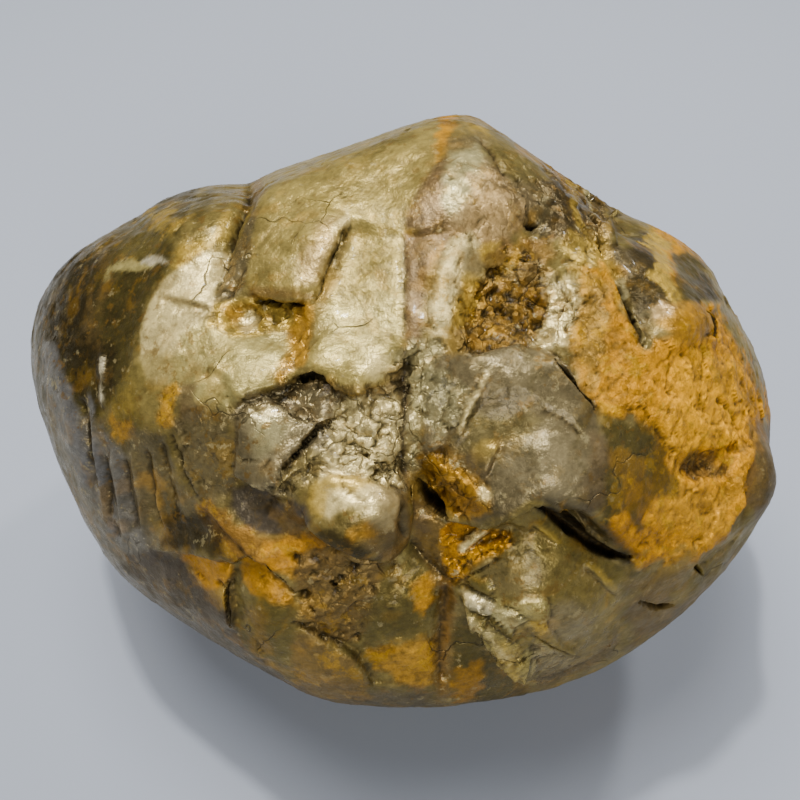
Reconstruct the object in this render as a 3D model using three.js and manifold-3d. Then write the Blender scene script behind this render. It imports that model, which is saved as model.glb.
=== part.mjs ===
// A rough brecciated jasper: one river-worn stone of angular fragments healed together, about 140 mm long.
// Millimetres. The stone lies on its flat worn base at Z = 0, with its long axis along X, its back at +Y
// and its show face looking up and forwards, towards -Y and +Z.
import * as THREE from "three";
import { mergeVertices } from "three/addons/utils/BufferGeometryUtils.js";
import Module from "manifold-3d";

const { clamp, degToRad, smoothstep } = THREE.MathUtils;

// Driving dimensions
const MIDDLE_HEIGHT = 47; // from the base to the point that the worn faces are measured from
const MIDDLE_RIGHT = 0.1; // and how far that point lies right of, and behind, the middle of the base,
const MIDDLE_BACK = -1.55; // so that the stone's outer size is centred on the base's middle
const SHOW_TILT = degToRad(50); // how far the show face looks up
const EYE_DISTANCE = 180; // the show face is mapped as it is seen from here
const EDGE_SHARPNESS = 24; // higher leaves less wear where two faces meet
const MESH_DETAIL = 20; // rows of triangles along an edge of the starting icosahedron
const SHOW_DENSITY = 0.34; // how far the triangles crowd towards the show face
const STEP_WEAR = 1.3; // half the width that a worn ledge's edge takes
const CLEFT_CLEARANCE = 2; // how far a cleft's cutting wedge stands out of the stone
const CLEFT_FLOOR_SHARE = 0.35; // a cleft's floor, as a share of its width
const UNDER_SIZE = 300; // the block of air under the flat base

const MIDDLE = new THREE.Vector3(MIDDLE_RIGHT, MIDDLE_BACK, MIDDLE_HEIGHT);
const RIGHT = new THREE.Vector3(1, 0, 0);
const TOWARD = new THREE.Vector3(0, -Math.cos(SHOW_TILT), Math.sin(SHOW_TILT));
const UPWARD = new THREE.Vector3().crossVectors(TOWARD, RIGHT);
const EYE = MIDDLE.clone().addScaledVector(TOWARD, EYE_DISTANCE);

// Worn faces of the show side: how far each one's outward normal leans to the right and up as the eye
// sees it, from -1 to 1, and its distance from the middle.
const SHOW_FACES = {
  crown: [-0.33, 0.89, 49],
  rightShoulder: [0.57, 0.76, 52.5],
  rightCheek: [0.84, 0.44, 64.5],
  rightEnd: [0.91, -0.12, 69.6],
  rightHeel: [0.72, -0.63, 68.5],
  lowerHeel: [0.51, -0.8, 64.5],
  chin: [0, -0.95, 59],
  leftKeel: [-0.5, -0.81, 57.5],
  leftFlank: [-0.88, -0.36, 64],
  leftBrow: [-0.76, 0.55, 69.5],
  darkEnd: [-0.72, 0.22, 65],
  leftEnd: [-0.92, 0.08, 71.4],
  paleFace: [-0.45, 0.3, 56],
  topPlane: [-0.08, 0.42, 50],
  bulge: [0.25, 0.5, 53],
  ochreFace: [0.68, 0.05, 60],
  boss: [0.2, -0.05, 51],
  lowerFront: [-0.05, -0.45, 52],
  lowerLeft: [-0.5, -0.4, 55],
  lowerRight: [0.32, -0.6, 57],
};

// Worn faces that the eye doesn't see: azimuth from +X towards +Y and elevation, in degrees, and distance.
const HIDDEN_FACES = {
  base: [0, -90, MIDDLE_HEIGHT + 1.5],
  backHigh: [95, 30, 54],
  backLow: [80, -15, 57],
  backRight: [35, 5, 64],
  backLeft: [140, 5, 61],
  underRight: [-5, -35, 60],
  underLeft: [180, -40, 58],
  underBack: [100, -50, 53],
  underFront: [-85, -50, 52],
};

/** A unit vector from how far it leans to the right and up, as the eye sees it. */
const asSeen = (right, up) =>
  new THREE.Vector3()
    .addScaledVector(RIGHT, right)
    .addScaledVector(UPWARD, up)
    .addScaledVector(TOWARD, Math.sqrt(Math.max(0, 1 - right ** 2 - up ** 2)))
    .normalize();

/** A unit vector from its azimuth and elevation in degrees. */
function bearing(azimuth, elevation) {
  const [turn, rise] = [degToRad(azimuth), degToRad(elevation)];
  return new THREE.Vector3(Math.cos(rise) * Math.cos(turn), Math.cos(rise) * Math.sin(turn), Math.sin(rise));
}

const FACES = [
  ...Object.values(SHOW_FACES).map(([right, up, distance]) => [asSeen(right, up), distance]),
  ...Object.values(HIDDEN_FACES).map(([turn, rise, distance]) => [bearing(turn, rise), distance]),
];

/** The worn body's radius in a direction: the space inside every face, with rounded edges between them. */
function bodyRadius(direction) {
  let sum = 0;
  for (const [normal, distance] of FACES)
    sum += Math.max(0, normal.dot(direction) / distance) ** EDGE_SHARPNESS;
  return sum ** (-1 / EDGE_SHARPNESS);
}

/** The point of the show face that the eye sees at [right, up] on the plane through the middle. */
function seen([right, up], radiusAt = bodyRadius) {
  const onPlane = MIDDLE.clone().addScaledVector(RIGHT, right).addScaledVector(UPWARD, up);
  const sight = onPlane.sub(EYE).normalize();
  const isInside = (reach) => {
    const arm = EYE.clone().addScaledVector(sight, reach).sub(MIDDLE);
    return arm.length() < radiusAt(arm.clone().normalize());
  };
  let near = EYE_DISTANCE * 0.5;
  while (!isInside(near) && near < EYE_DISTANCE * 1.2) near += 2;
  let far = near;
  near -= 2;
  for (let i = 0; i < 12; i++) {
    const half = (near + far) / 2;
    if (isInside(half)) far = half;
    else near = half;
  }
  return EYE.clone().addScaledVector(sight, near);
}

/** The point of the worn body at a bearing. */
const around = ([azimuth, elevation]) => {
  const direction = bearing(azimuth, elevation);
  return direction.multiplyScalar(bodyRadius(direction)).add(MIDDLE);
};

const seenLine = (points) => points.map((at) => seen(at));
const aroundLine = (points) => points.map((at) => around(at));

// Rounded lumps and worn hollows: where, how far they reach, and how far they stand out, or in, below 0.
const LUMPS = {
  rightKnob: { at: seen([70, -17]), reach: 8, height: 4.6 },
  backLeftSwell: { at: around([155, 35]), reach: 15, height: 2.8 },
  rightLobe: { at: seen([54, 28]), reach: 12, height: 4.5 },
  shoulderNotch: { at: seen([41.5, 37]), reach: 6, height: -3 },
  browBulge: { at: seen([12, 42]), reach: 14, height: 3 },
  pittedHollow: { at: seen([22, 21]), reach: 9, height: -4 },
  streakRidgeTop: { at: seen([9, 24]), reach: 6, height: 2.5 },
  streakRidgeFoot: { at: seen([7.5, 14]), reach: 6, height: 2 },
  boss: { at: seen([33, -9]), reach: 15, height: 4 },
  lowerLobe: { at: seen([29, -39]), reach: 13, height: 2.5 },
  creamLump: { at: seen([-9, -23]), reach: 9, height: 3.5 },
  brokenHollow: { at: seen([-22, -9]), reach: 12, height: -2 },
  pocket: { at: seen([5, -18]), reach: 5, height: -4 },
  rustValley: { at: seen([9, -34]), reach: 8, height: -3 },
  rustValleyFoot: { at: seen([9, -50]), reach: 7, height: -1.5 },
  chipHollow: { at: seen([-28, 17]), reach: 6, height: -2.5 },
  lowerLeftSwell: { at: seen([-30, -38]), reach: 14, height: 2 },
  backSwell: { at: around([75, 8]), reach: 18, height: 2.5 },
  backHollow: { at: around([118, 18]), reach: 13, height: -2.5 },
  backDimple: { at: around([52, -8]), reach: 9, height: -2 },
  leftHollow: { at: around([170, -12]), reach: 12, height: -2 },
  rightHollow: { at: around([12, -18]), reach: 11, height: -2 },
};

// Ledges: a line, the drop from the ground on its left to the ground on its right as the line is drawn, and
// how far from it the ground is still raised or sunk.
const LEDGES = {
  ridgeStep: {
    line: seenLine([[-11, 36], [-13, 30], [-15.5, 23], [-17.5, 18], [-20, 13]]),
    drop: -2.6,
    reach: 9,
  },
  shelf: { line: seenLine([[-30, 20], [-24.5, 18.8], [-19, 19.6]]), drop: 3.2, reach: 7 },
  brokenRim: {
    line: seenLine([[-31, 0], [-24, 2.5], [-18, 4.4], [-14, 3.2], [-10, 1.6], [-3, 2.4], [0, 6]]),
    drop: 2.4,
    reach: 8,
  },
  lumpFoot: {
    line: seenLine([
      [-33, -15], [-28, -18], [-22, -21], [-17, -26], [-10, -30], [-3, -31], [1, -27], [1.6, -16],
    ]),
    drop: 3.4,
    reach: 8,
  },
  bossTop: { line: seenLine([[14, 8], [19, 10], [28, 10], [34, 5], [40, -1.6]]), drop: -2, reach: 8 },
  mouth: {
    line: seenLine([[8, -21], [16, -24], [24, -22.4], [27, -20.6], [32, -23], [38, -28], [45, -32]]),
    drop: 4,
    reach: 9,
  },
  flakeEdge: {
    line: seenLine([[12, -38], [16, -46], [20, -51], [25, -54.4], [32, -52], [40, -48]]),
    drop: 2.4,
    reach: 8,
  },
  ochreRim: { line: seenLine([[71, -8], [69, -14], [68, -24], [60, -32], [57, -35]]), drop: -2.4, reach: 8 },
  leftCorner: {
    line: seenLine([[-46, 42], [-47, 30], [-52, 20], [-55, 6], [-60, -8]]),
    drop: 1.4,
    reach: 10,
  },
  lowerLeftCrack: {
    line: seenLine([[-47, -31], [-37, -32], [-31, -30], [-27, -32], [-22, -36]]),
    drop: 1.6,
    reach: 7,
  },
  lowerCrack: { line: seenLine([[-20, -45], [-12, -49], [-8, -52], [-5.6, -56]]), drop: -1.4, reach: 7 },
  backStep: { line: aroundLine([[62, 40], [66, 25], [60, 8], [66, -8], [60, -24]]), drop: 2.6, reach: 9 },
  backShelf: { line: aroundLine([[88, 2], [100, -4], [114, 0], [128, -6]]), drop: 2.4, reach: 8 },
  leftStep: { line: aroundLine([[150, 30], [156, 14], [152, -4], [160, -20]]), drop: -2.2, reach: 8 },
  rightStep: { line: aroundLine([[30, 26], [22, 12], [26, -4], [18, -20]]), drop: -2.2, reach: 8 },
};

// Grooves worn along old fractures: a line, its half width and its depth.
const GROOVES = {
  brow: {
    line: seenLine([[-29, 46], [-31.4, 39], [-34.4, 31], [-36.4, 23], [-38, 17]]),
    width: 2.4,
    depth: 2.4,
  },
  rustStep: {
    line: seenLine([[-20, 18], [-21.5, 12], [-22, 8], [-27, 2], [-32, -3]]),
    width: 2.4,
    depth: 1.6,
  },
  centre: {
    line: seenLine([[1.5, 13], [0.8, 0], [0.4, -10], [1.6, -17], [1, -28], [8, -34]]),
    width: 2,
    depth: 1.8,
  },
  lobe: { line: seenLine([[37, 38], [40, 32], [44, 24], [47, 18], [48.6, 12]]), width: 2.2, depth: 2.6 },
  rustVein: { line: seenLine([[9, -34], [9, -42], [8.6, -50], [8, -58]]), width: 2.2, depth: 1.4 },
  backVein: { line: aroundLine([[84, 44], [92, 26], [88, 6], [96, -14], [90, -34]]), width: 2.2, depth: 1.6 },
};

// Open clefts, cut into the stone under an overhanging lip: a line, the cleft's width and depth, and how far
// its floor leans under the lip on the left of the line as it is drawn.
const CLEFTS = {
  mouth: {
    line: [[26, -20.4], [29, -21], [33, -24], [38, -28.4], [42, -31], [46, -32.6]],
    width: 4.6,
    depth: 9,
    lean: 0.5,
  },
  shelf: { line: [[-30, 20], [-24.5, 18.8], [-18.8, 19.4]], width: 2, depth: 4, lean: 0.6 },
  pocket: { line: [[2.6, -13], [4.6, -17], [6.4, -20], [9, -23.4]], width: 5, depth: 7, lean: 0.2 },
  lumpFoot: { line: [[-22, -21], [-17, -26], [-10, -30], [-4, -31.4]], width: 2, depth: 3.4, lean: 0.6 },
  lobeSlot: { line: [[40, 32], [44, 24], [47, 17], [48.8, 11.4]], width: 2.8, depth: 4.6, lean: 0 },
  heelSlit: { line: [[47.6, -40.6], [51, -42], [55, -42]], width: 2.2, depth: 4, lean: 0.4 },
  bossCrack: { line: [[30, 8.4], [34, 3.4], [37, 0.6], [40.4, -1.8]], width: 1.6, depth: 3, lean: 0 },
  brokenRim: { line: [[-20.6, 3.4], [-17, 4.6], [-12.6, 2.4]], width: 2, depth: 3.4, lean: 0.5 },
};

/** How far a point lies from a line: the distance, the same with a sign that is positive on the left of the
 *  line as it is drawn, and a fade that falls to 0 at both ends. */
function offsetFrom(line, point) {
  const out = point.clone().sub(MIDDLE).normalize();
  const segment = new THREE.Line3();
  const foot = new THREE.Vector3();
  let best = { distance: Infinity };
  line.slice(1).forEach((end, i) => {
    segment.set(line[i], end);
    const share = segment.closestPointToPointParameter(point, true);
    segment.at(share, foot);
    const distance = foot.distanceTo(point);
    if (distance >= best.distance) return;
    const along = end.clone().sub(line[i]);
    const left = new THREE.Vector3().crossVectors(out, along);
    const side = Math.sign(left.dot(point.clone().sub(foot))) || 1;
    const run = (i + share) / (line.length - 1);
    best = { distance, signed: side * distance, fade: smoothstep(Math.min(run, 1 - run), 0, 0.18) };
  });
  return best;
}

/** How far the relief stands out from the worn body at a point of it. */
function reliefAt(point) {
  let relief = 0;
  for (const { at, reach, height } of Object.values(LUMPS))
    relief += height * Math.exp(-((point.distanceTo(at) / reach) ** 2));
  for (const { line, drop, reach } of Object.values(LEDGES)) {
    const { distance, signed, fade } = offsetFrom(line, point);
    if (distance < reach * 4)
      relief += (drop / 2) * fade * Math.tanh(signed / STEP_WEAR) * Math.exp(-((distance / reach) ** 2));
  }
  for (const { line, width, depth } of Object.values(GROOVES)) {
    const { distance, fade } = offsetFrom(line, point);
    relief -= depth * fade * Math.exp(-((distance / width) ** 2));
  }
  return relief;
}

/** The finished radius in a direction: the worn body's, with the relief added. */
function stoneRadius(direction) {
  const radius = bodyRadius(direction);
  return radius + reliefAt(direction.clone().multiplyScalar(radius).add(MIDDLE));
}

/** The worn stone before its clefts are cut: a sphere of triangles pushed out or in to the stone's radius. */
function wornBody() {
  const sphere = new THREE.IcosahedronGeometry(1, MESH_DETAIL);
  sphere.deleteAttribute("normal");
  sphere.deleteAttribute("uv");
  const body = mergeVertices(sphere);
  const position = body.attributes.position;
  const point = new THREE.Vector3();
  for (let i = 0; i < position.count; i++) {
    point.fromBufferAttribute(position, i).normalize().addScaledVector(TOWARD, SHOW_DENSITY).normalize();
    point.multiplyScalar(stoneRadius(point)).add(MIDDLE);
    position.setXYZ(i, point.x, point.y, point.z);
  }
  return body;
}

const wasm = await Module();
wasm.setup();

/** A closed three.js geometry as a solid that can be joined and cut. */
function solidOf(geometry) {
  const shell = geometry.clone();
  shell.deleteAttribute("normal");
  shell.deleteAttribute("uv");
  const merged = mergeVertices(shell);
  return new wasm.Manifold(
    new wasm.Mesh({
      numProp: 3,
      vertProperties: merged.attributes.position.array,
      triVerts: new Uint32Array(merged.index.array),
    }),
  );
}

/** The four corners of a cleft's section at one of its points: left and right at the lip, then right and left
 *  at its floor. */
function cleftSection(points, i, { width, depth, lean }) {
  const out = points[i].clone().sub(MIDDLE).normalize();
  const along = points[Math.min(i + 1, points.length - 1)].clone().sub(points[Math.max(i - 1, 0)]);
  const left = new THREE.Vector3().crossVectors(out, along).normalize();
  const share = clamp(i / (points.length - 1), 0.08, 0.92);
  const fullness = 0.25 + 0.75 * Math.sin(Math.PI * share);
  const sink = depth * fullness;
  const halfWidth = (width / 2) * fullness;
  const corner = (outward, leftward) =>
    points[i].clone().addScaledVector(out, outward).addScaledVector(left, leftward);
  return [
    corner(CLEFT_CLEARANCE, halfWidth),
    corner(CLEFT_CLEARANCE, -halfWidth),
    corner(-sink, lean * sink - halfWidth * CLEFT_FLOOR_SHARE),
    corner(-sink, lean * sink + halfWidth * CLEFT_FLOOR_SHARE),
  ];
}

/** The wedge of air in a cleft: its sections joined corner to corner, and closed at both ends. */
function cleftWedge(cleft) {
  const points = cleft.line.map((at) => seen(at, stoneRadius));
  const corners = points.flatMap((_, i) => cleftSection(points, i, cleft));
  const triangles = [];
  const quad = (a, b, c, d) => triangles.push(a, b, c, a, c, d);
  for (let first = 0; first < corners.length - 4; first += 4)
    for (let side = 0; side < 4; side++) {
      const next = (side + 1) % 4;
      quad(first + side, first + next, first + 4 + next, first + 4 + side);
    }
  const last = corners.length - 4;
  quad(3, 2, 1, 0);
  quad(last, last + 1, last + 2, last + 3);
  return new THREE.BufferGeometry().setFromPoints(corners).setIndex(triangles);
}

/** The finished stone: the worn body, flat at its base, with its clefts cut. */
function stoneGeometry() {
  const under = new THREE.BoxGeometry(UNDER_SIZE, UNDER_SIZE, UNDER_SIZE).translate(0, 0, -UNDER_SIZE / 2);
  let solid = solidOf(wornBody()).subtract(solidOf(under));
  for (const cleft of Object.values(CLEFTS)) solid = solid.subtract(solidOf(cleftWedge(cleft)));
  const { vertProperties, triVerts } = solid.getMesh();
  return new THREE.BufferGeometry()
    .setAttribute("position", new THREE.BufferAttribute(vertProperties, 3))
    .setIndex(new THREE.BufferAttribute(triVerts, 1));
}

const jasper = new THREE.MeshStandardMaterial({ color: 0x9c8a5c, roughness: 0.3, metalness: 0 });
const stone = new THREE.Mesh(stoneGeometry(), jasper);
stone.name = "jasper_stone";

const group = new THREE.Group();
group.add(stone);

export default group;
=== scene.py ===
"""A rough brecciated jasper: a wet, glossy river stone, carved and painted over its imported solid.

Sizes in the tables are millimetres. A place on the show face is (right, up): where the eye sees it on the
plane through the stone's middle, square to the sight. Five pixels of the frame make one millimetre there.
"""

import logging
import math
from contextlib import contextmanager
from dataclasses import dataclass, field
from enum import Enum, IntEnum
from typing import Any, Iterator, Sequence

import bmesh
import bpy
import numpy as np
from mathutils import Matrix, Vector


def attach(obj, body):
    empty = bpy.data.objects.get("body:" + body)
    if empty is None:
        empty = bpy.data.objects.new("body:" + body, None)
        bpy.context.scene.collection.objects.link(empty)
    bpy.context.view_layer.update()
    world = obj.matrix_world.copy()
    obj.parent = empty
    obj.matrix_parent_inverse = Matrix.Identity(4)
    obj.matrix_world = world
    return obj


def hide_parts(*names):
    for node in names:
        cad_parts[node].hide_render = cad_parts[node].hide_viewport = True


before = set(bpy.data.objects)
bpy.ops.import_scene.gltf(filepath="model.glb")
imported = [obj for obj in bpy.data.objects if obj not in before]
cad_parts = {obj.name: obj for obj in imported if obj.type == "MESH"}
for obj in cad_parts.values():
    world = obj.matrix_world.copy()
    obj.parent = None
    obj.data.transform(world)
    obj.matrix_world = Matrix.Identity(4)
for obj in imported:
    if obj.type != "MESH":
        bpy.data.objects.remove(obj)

log = logging.getLogger("jasper")

MM = 0.001
Array = np.ndarray
Place = tuple[float, float]
Line = Sequence[Place]
Colour = tuple[float, float, float, float]


def smooth(low: float, high: float, value: Array) -> Array:
    """Rises smoothly from 0 at low to 1 at high."""
    share = np.clip((value - low) / (high - low), 0.0, 1.0)
    return share * share * (3.0 - 2.0 * share)


# The eye's view of the stone


@dataclass(frozen=True)
class Sight:
    """The eye's place, and the flat map of the show face as it is seen from there."""

    middle: tuple[float, float, float] = (0.1, -1.55, 47.0)
    tilt: float = 50.0
    distance: float = 180.0
    focal_pixels: float = 900.0
    frame_pixels: float = 800.0

    @property
    def toward(self) -> Array:
        """The direction from the stone's middle to the eye."""
        rise = math.radians(self.tilt)
        return np.array([0.0, -math.cos(rise), math.sin(rise)])

    @property
    def upward(self) -> Array:
        """The direction that the eye sees as up."""
        rise = math.radians(self.tilt)
        return np.array([0.0, math.sin(rise), math.cos(rise)])

    @property
    def eye(self) -> Array:
        """The eye's place in millimetres."""
        return np.array(self.middle) + self.toward * self.distance

    def mapped(self, points: Array) -> Array:
        """Where the eye sees each point.

        Args:
            points: places in millimetres, one row each.

        Returns:
            One (right, up) row for each point.
        """
        arms = points - self.eye
        depth = -(arms @ self.toward)
        scale = self.distance / np.maximum(depth, 1.0)
        return np.stack([arms[:, 0] * scale, (arms @ self.upward) * scale], axis=1)

    def facing(self, points: Array, normals: Array) -> Array:
        """How squarely each point's surface faces the eye.

        Args:
            points: places in millimetres.
            normals: the surface's unit normal at each place.

        Returns:
            One number for each point, from -1 to 1.
        """
        arms = self.eye - points
        arms /= np.linalg.norm(arms, axis=1, keepdims=True)
        return np.sum(arms * normals, axis=1)


# Seeded patterns in space

ENTRIES = 256  # places in a pattern's shuffled table
WRAP = ENTRIES - 1  # keeps a number inside that table
NOISE_START = 37.3  # the starts keep the grids of noise, cells and chips apart
CELL_START = 53.7
CHIP_START = 71.9
NOISE_GAIN = 1.6  # brings noise to about -1 to 1
STRAY = 0.45  # how far a cell's seed lies from the middle of its cube, as a share of the cube
BEYOND = 9.0  # further away than any seed of the neighbouring cubes
OCTAVE_STEP = 11  # from the seed of one octave of noise to the next
BEND_STEP = 101  # from a pattern's seed to the seeds of the noise that bends it
CHIP_TILT = 91  # from the table entry of a chip's seed to that of its tilt
CHIP_SLOPE = 0.8  # how steeply a chip tilts
CHIP_STEP = 1200.0  # a chip stands up by its table entry over this, in cell widths
CHIP_SINK = 0.1  # and sinks by this, so that chips lie about their old ground
ROUGH_SPAN = 1.5  # brings noise with its finer octaves back to about -1 to 1
BOX_MARGIN = 1.5  # how far past its outline a patch is worked out, as a share of its wave


class Seed(IntEnum):
    """The seed of each pattern that is carved or painted."""

    FRAGMENT_BEND = 5
    HIDDEN_LUMPS = 6
    FRAGMENTS = 7
    CRUST = 8
    SEAM_EDGE = 9
    HIDDEN_BROKEN = 10
    HIDDEN_PITS = 11
    WAVES = 21
    RIPPLES = 22
    CHIP_BEND = 31
    CHIPS = 32
    SMALL_CHIPS = 33
    CRUMBS = 34
    GRAINS = 35
    PITS = 36
    EDGES = 41
    FINE_EDGES = 42
    MATRIX = 51
    MATRIX_PLACES = 52
    ISLANDS = 53
    DARK_MATRIX = 54


@dataclass(frozen=True)
class Pattern:
    """Noise and cells that fill space, the same on every run for the same seed."""

    seed: int

    def _tables(self) -> tuple[Array, Array]:
        """A shuffled table of places and as many random unit vectors."""
        draw = np.random.default_rng(self.seed)
        arrows = draw.normal(size=(ENTRIES, 3))
        arrows /= np.linalg.norm(arrows, axis=1, keepdims=True)
        return draw.permutation(ENTRIES), arrows

    @staticmethod
    def _mark(table: Array, corner: Array) -> Array:
        """The table entry of each whole-numbered corner of space."""
        mark = table[corner[:, 0] & WRAP]
        mark = table[(mark + corner[:, 1]) & WRAP]
        return table[(mark + corner[:, 2]) & WRAP]

    def noise(self, points: Array, size: float) -> Array:
        """Smooth noise from about -1 to 1.

        Args:
            points: places in millimetres.
            size: the width of one lump.

        Returns:
            One value for each point.
        """
        table, arrows = self._tables()
        scaled = points / size + NOISE_START
        base = np.floor(scaled).astype(int)
        rest = scaled - base
        ease = rest**3 * (rest * (rest * 6 - 15) + 10)
        total = np.zeros(len(points))
        for corner in np.ndindex(2, 2, 2):
            step = np.array(corner)
            arrow = arrows[self._mark(table, base + step)]
            weight = np.prod(np.where(step, ease, 1 - ease), axis=1)
            total += weight * np.sum(arrow * (rest - step), axis=1)
        return total * NOISE_GAIN

    def rough(self, points: Array, size: float, octaves: int = 3) -> Array:
        """Noise with finer and finer noise added.

        Args:
            points: places in millimetres.
            size: the width of the largest lumps.
            octaves: how many sizes are added, each half the last.

        Returns:
            One value for each point, from about -1 to 1.
        """
        total = np.zeros(len(points))
        for octave in range(octaves):
            finer = Pattern(self.seed + octave * OCTAVE_STEP)
            total += finer.noise(points, size / 2**octave) / 2**octave
        return total / ROUGH_SPAN

    def warped(self, points: Array, size: float, amount: float) -> Array:
        """The points pushed about by noise, so that a pattern on them bends."""
        push = [Pattern(self.seed + BEND_STEP + axis).noise(points, size) for axis in range(3)]
        return points + amount * np.stack(push, axis=1)

    def _seeds(self, scaled: Array) -> Iterator[tuple[Array, Array, Array]]:
        """The seeds of the cubes round each place.

        Args:
            scaled: places, counted in cubes.

        Yields:
            For each of 27 seeds, its table entries, the arms from it to the places, and their lengths.
        """
        table, arrows = self._tables()
        base = np.floor(scaled).astype(int)
        for offset in np.ndindex(3, 3, 3):
            corner = base + np.array(offset) - 1
            mark = self._mark(table, corner)
            arm = scaled - (corner + 0.5 + arrows[mark] * STRAY)
            yield mark, arm, np.linalg.norm(arm, axis=1)

    def cells(self, points: Array, size: float) -> tuple[Array, Array, Array]:
        """The nearest of the scattered seeds of a cell pattern.

        Args:
            points: places in millimetres.
            size: the average width of a cell.

        Returns:
            The distance to the nearest seed, how much further the second one is, both as a share of the
            cell size, and a random number from 0 to 1 for the nearest one.
        """
        first = np.full(len(points), BEYOND)
        second = np.full(len(points), BEYOND)
        chosen = np.zeros(len(points))
        for mark, _, far in self._seeds(points / size + CELL_START):
            nearer = far < first
            second = np.where(nearer, first, np.minimum(second, far))
            chosen = np.where(nearer, mark / WRAP, chosen)
            first = np.where(nearer, far, first)
        return first, second - first, chosen

    def facets(self, points: Array, size: float) -> Array:
        """Flat chips at random tilts with sharp steps between them.

        Args:
            points: places in millimetres.
            size: the average width of a chip.

        Returns:
            One height for each point, from about -0.5 to 0.5.
        """
        _, arrows = self._tables()
        first = np.full(len(points), BEYOND)
        height = np.zeros(len(points))
        for mark, arm, far in self._seeds(points / size + CHIP_START):
            tilt = arrows[(mark + CHIP_TILT) & WRAP]
            rise = np.sum(arm * tilt, axis=1) * CHIP_SLOPE + mark / CHIP_STEP - CHIP_SINK
            height = np.where(far < first, rise, height)
            first = np.minimum(first, far)
        return height


@dataclass(frozen=True)
class Offset:
    """How places lie from a line.

    far is the distance, and signed is the same with a plus sign on the left of the line as drawn and a minus
    sign on its right. run is the share of the line that lies behind the nearest point, and left is the unit
    direction to the line's left there.
    """

    far: Array
    signed: Array
    run: Array
    left: Array


def offset_from(line: Line, at: Array) -> Offset:
    """Measures how places lie from a line.

    Args:
        line: the line's points in order.
        at: one (right, up) row for each place.

    Returns:
        The distances and directions.
    """
    best = np.full(len(at), np.inf)
    signed = np.full(len(at), np.inf)
    run = np.zeros(len(at))
    left = np.zeros((len(at), 2))
    corners = np.array(line, dtype=float)
    spans = np.linalg.norm(np.diff(corners, axis=0), axis=1)
    passed = 0.0
    for start, end, span in zip(corners[:-1], corners[1:], spans):
        along = (end - start) / span
        normal = np.array([-along[1], along[0]])
        arm = at - start
        reach = np.clip(arm @ along, 0.0, span)
        far = np.linalg.norm(arm - reach[:, None] * along, axis=1)
        nearer = far < best
        best = np.where(nearer, far, best)
        signed = np.where(nearer, np.sign(arm @ normal) * far, signed)
        run = np.where(nearer, (passed + reach) / spans.sum(), run)
        left[nearer] = normal
        passed += span
    return Offset(best, signed, run, left)


def ends_fade(run: Array, share: float = 0.15) -> Array:
    """Falls to 0 over the given share of a line at both of its ends."""
    return smooth(0.0, share, np.minimum(run, 1.0 - run))


# Marks that are carved into the stone


@dataclass(frozen=True)
class Swell:
    """A rounded lump, or a hollow if its height is below 0."""

    at: Place
    size: tuple[float, float]
    height: float
    turn: float = 0.0

    def relief(self, at: Array) -> Array:
        """How far the stone stands out at each place."""
        return self.height * np.exp(-(self.spread(at) ** 2))

    def spread(self, at: Array) -> Array:
        """How far each place lies from the middle of the turned oval, as a share of its size."""
        angle = math.radians(self.turn)
        arm = at - np.array(self.at)
        along = arm[:, 0] * math.cos(angle) + arm[:, 1] * math.sin(angle)
        across = arm[:, 1] * math.cos(angle) - arm[:, 0] * math.sin(angle)
        return np.hypot(along / self.size[0], across / self.size[1])


@dataclass(frozen=True)
class Ledge:
    """A step in the ground, higher on the left of its line as drawn where its drop is above 0."""

    line: Line
    drop: float
    reach: float
    wear: float

    def relief(self, at: Array) -> Array:
        """How far the stone stands out at each place."""
        off = offset_from(self.line, at)
        rise = np.tanh(off.signed / self.wear) * np.exp(-((off.far / self.reach) ** 2))
        return self.drop / 2 * rise * ends_fade(off.run)


@dataclass(frozen=True)
class Groove:
    """A worn groove, or a ridge if its depth is below 0."""

    line: Line
    width: float
    depth: float
    edge: float = 1.5

    def relief(self, at: Array) -> Array:
        """How far the stone stands out at each place."""
        off = offset_from(self.line, at)
        return -self.depth * np.exp(-((off.far / self.width) ** self.edge)) * ends_fade(off.run)


@dataclass(frozen=True)
class Cleft:
    """An open crack painted black as shade, its steep sides leaning under the lip on the left of its line.

    tip is how wide it is at its ends, as a share of its width.
    """

    line: Line
    width: float
    depth: float
    lean: float
    tip: float = 0.35

    def shift(self, at: Array) -> tuple[Array, Array]:
        """How far the cleft moves the surface.

        Args:
            at: one (right, up) row for each place.

        Returns:
            How far the surface sinks, and how far it slides under the lip as (right, up) rows.
        """
        off = offset_from(self.line, at)
        sink = self.depth * self.opening(off)
        return sink, off.left * (self.lean * sink)[:, None]

    def opening(self, off: Offset) -> Array:
        """How far each place lies into the cleft, from 0 at its lips to 1 along its middle."""
        narrow = self.tip + (1.0 - self.tip) * ends_fade(off.run, 0.3)
        return narrow * (1.0 - smooth(0.3, 1.0, 2.0 * off.far / (self.width * narrow)))

    def cover(self, at: Array) -> Array:
        """How much painted shade, in black, the cleft lays at each place, from 0 to 1."""
        return smooth(0.1, 0.6, self.opening(offset_from(self.line, at)))


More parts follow.
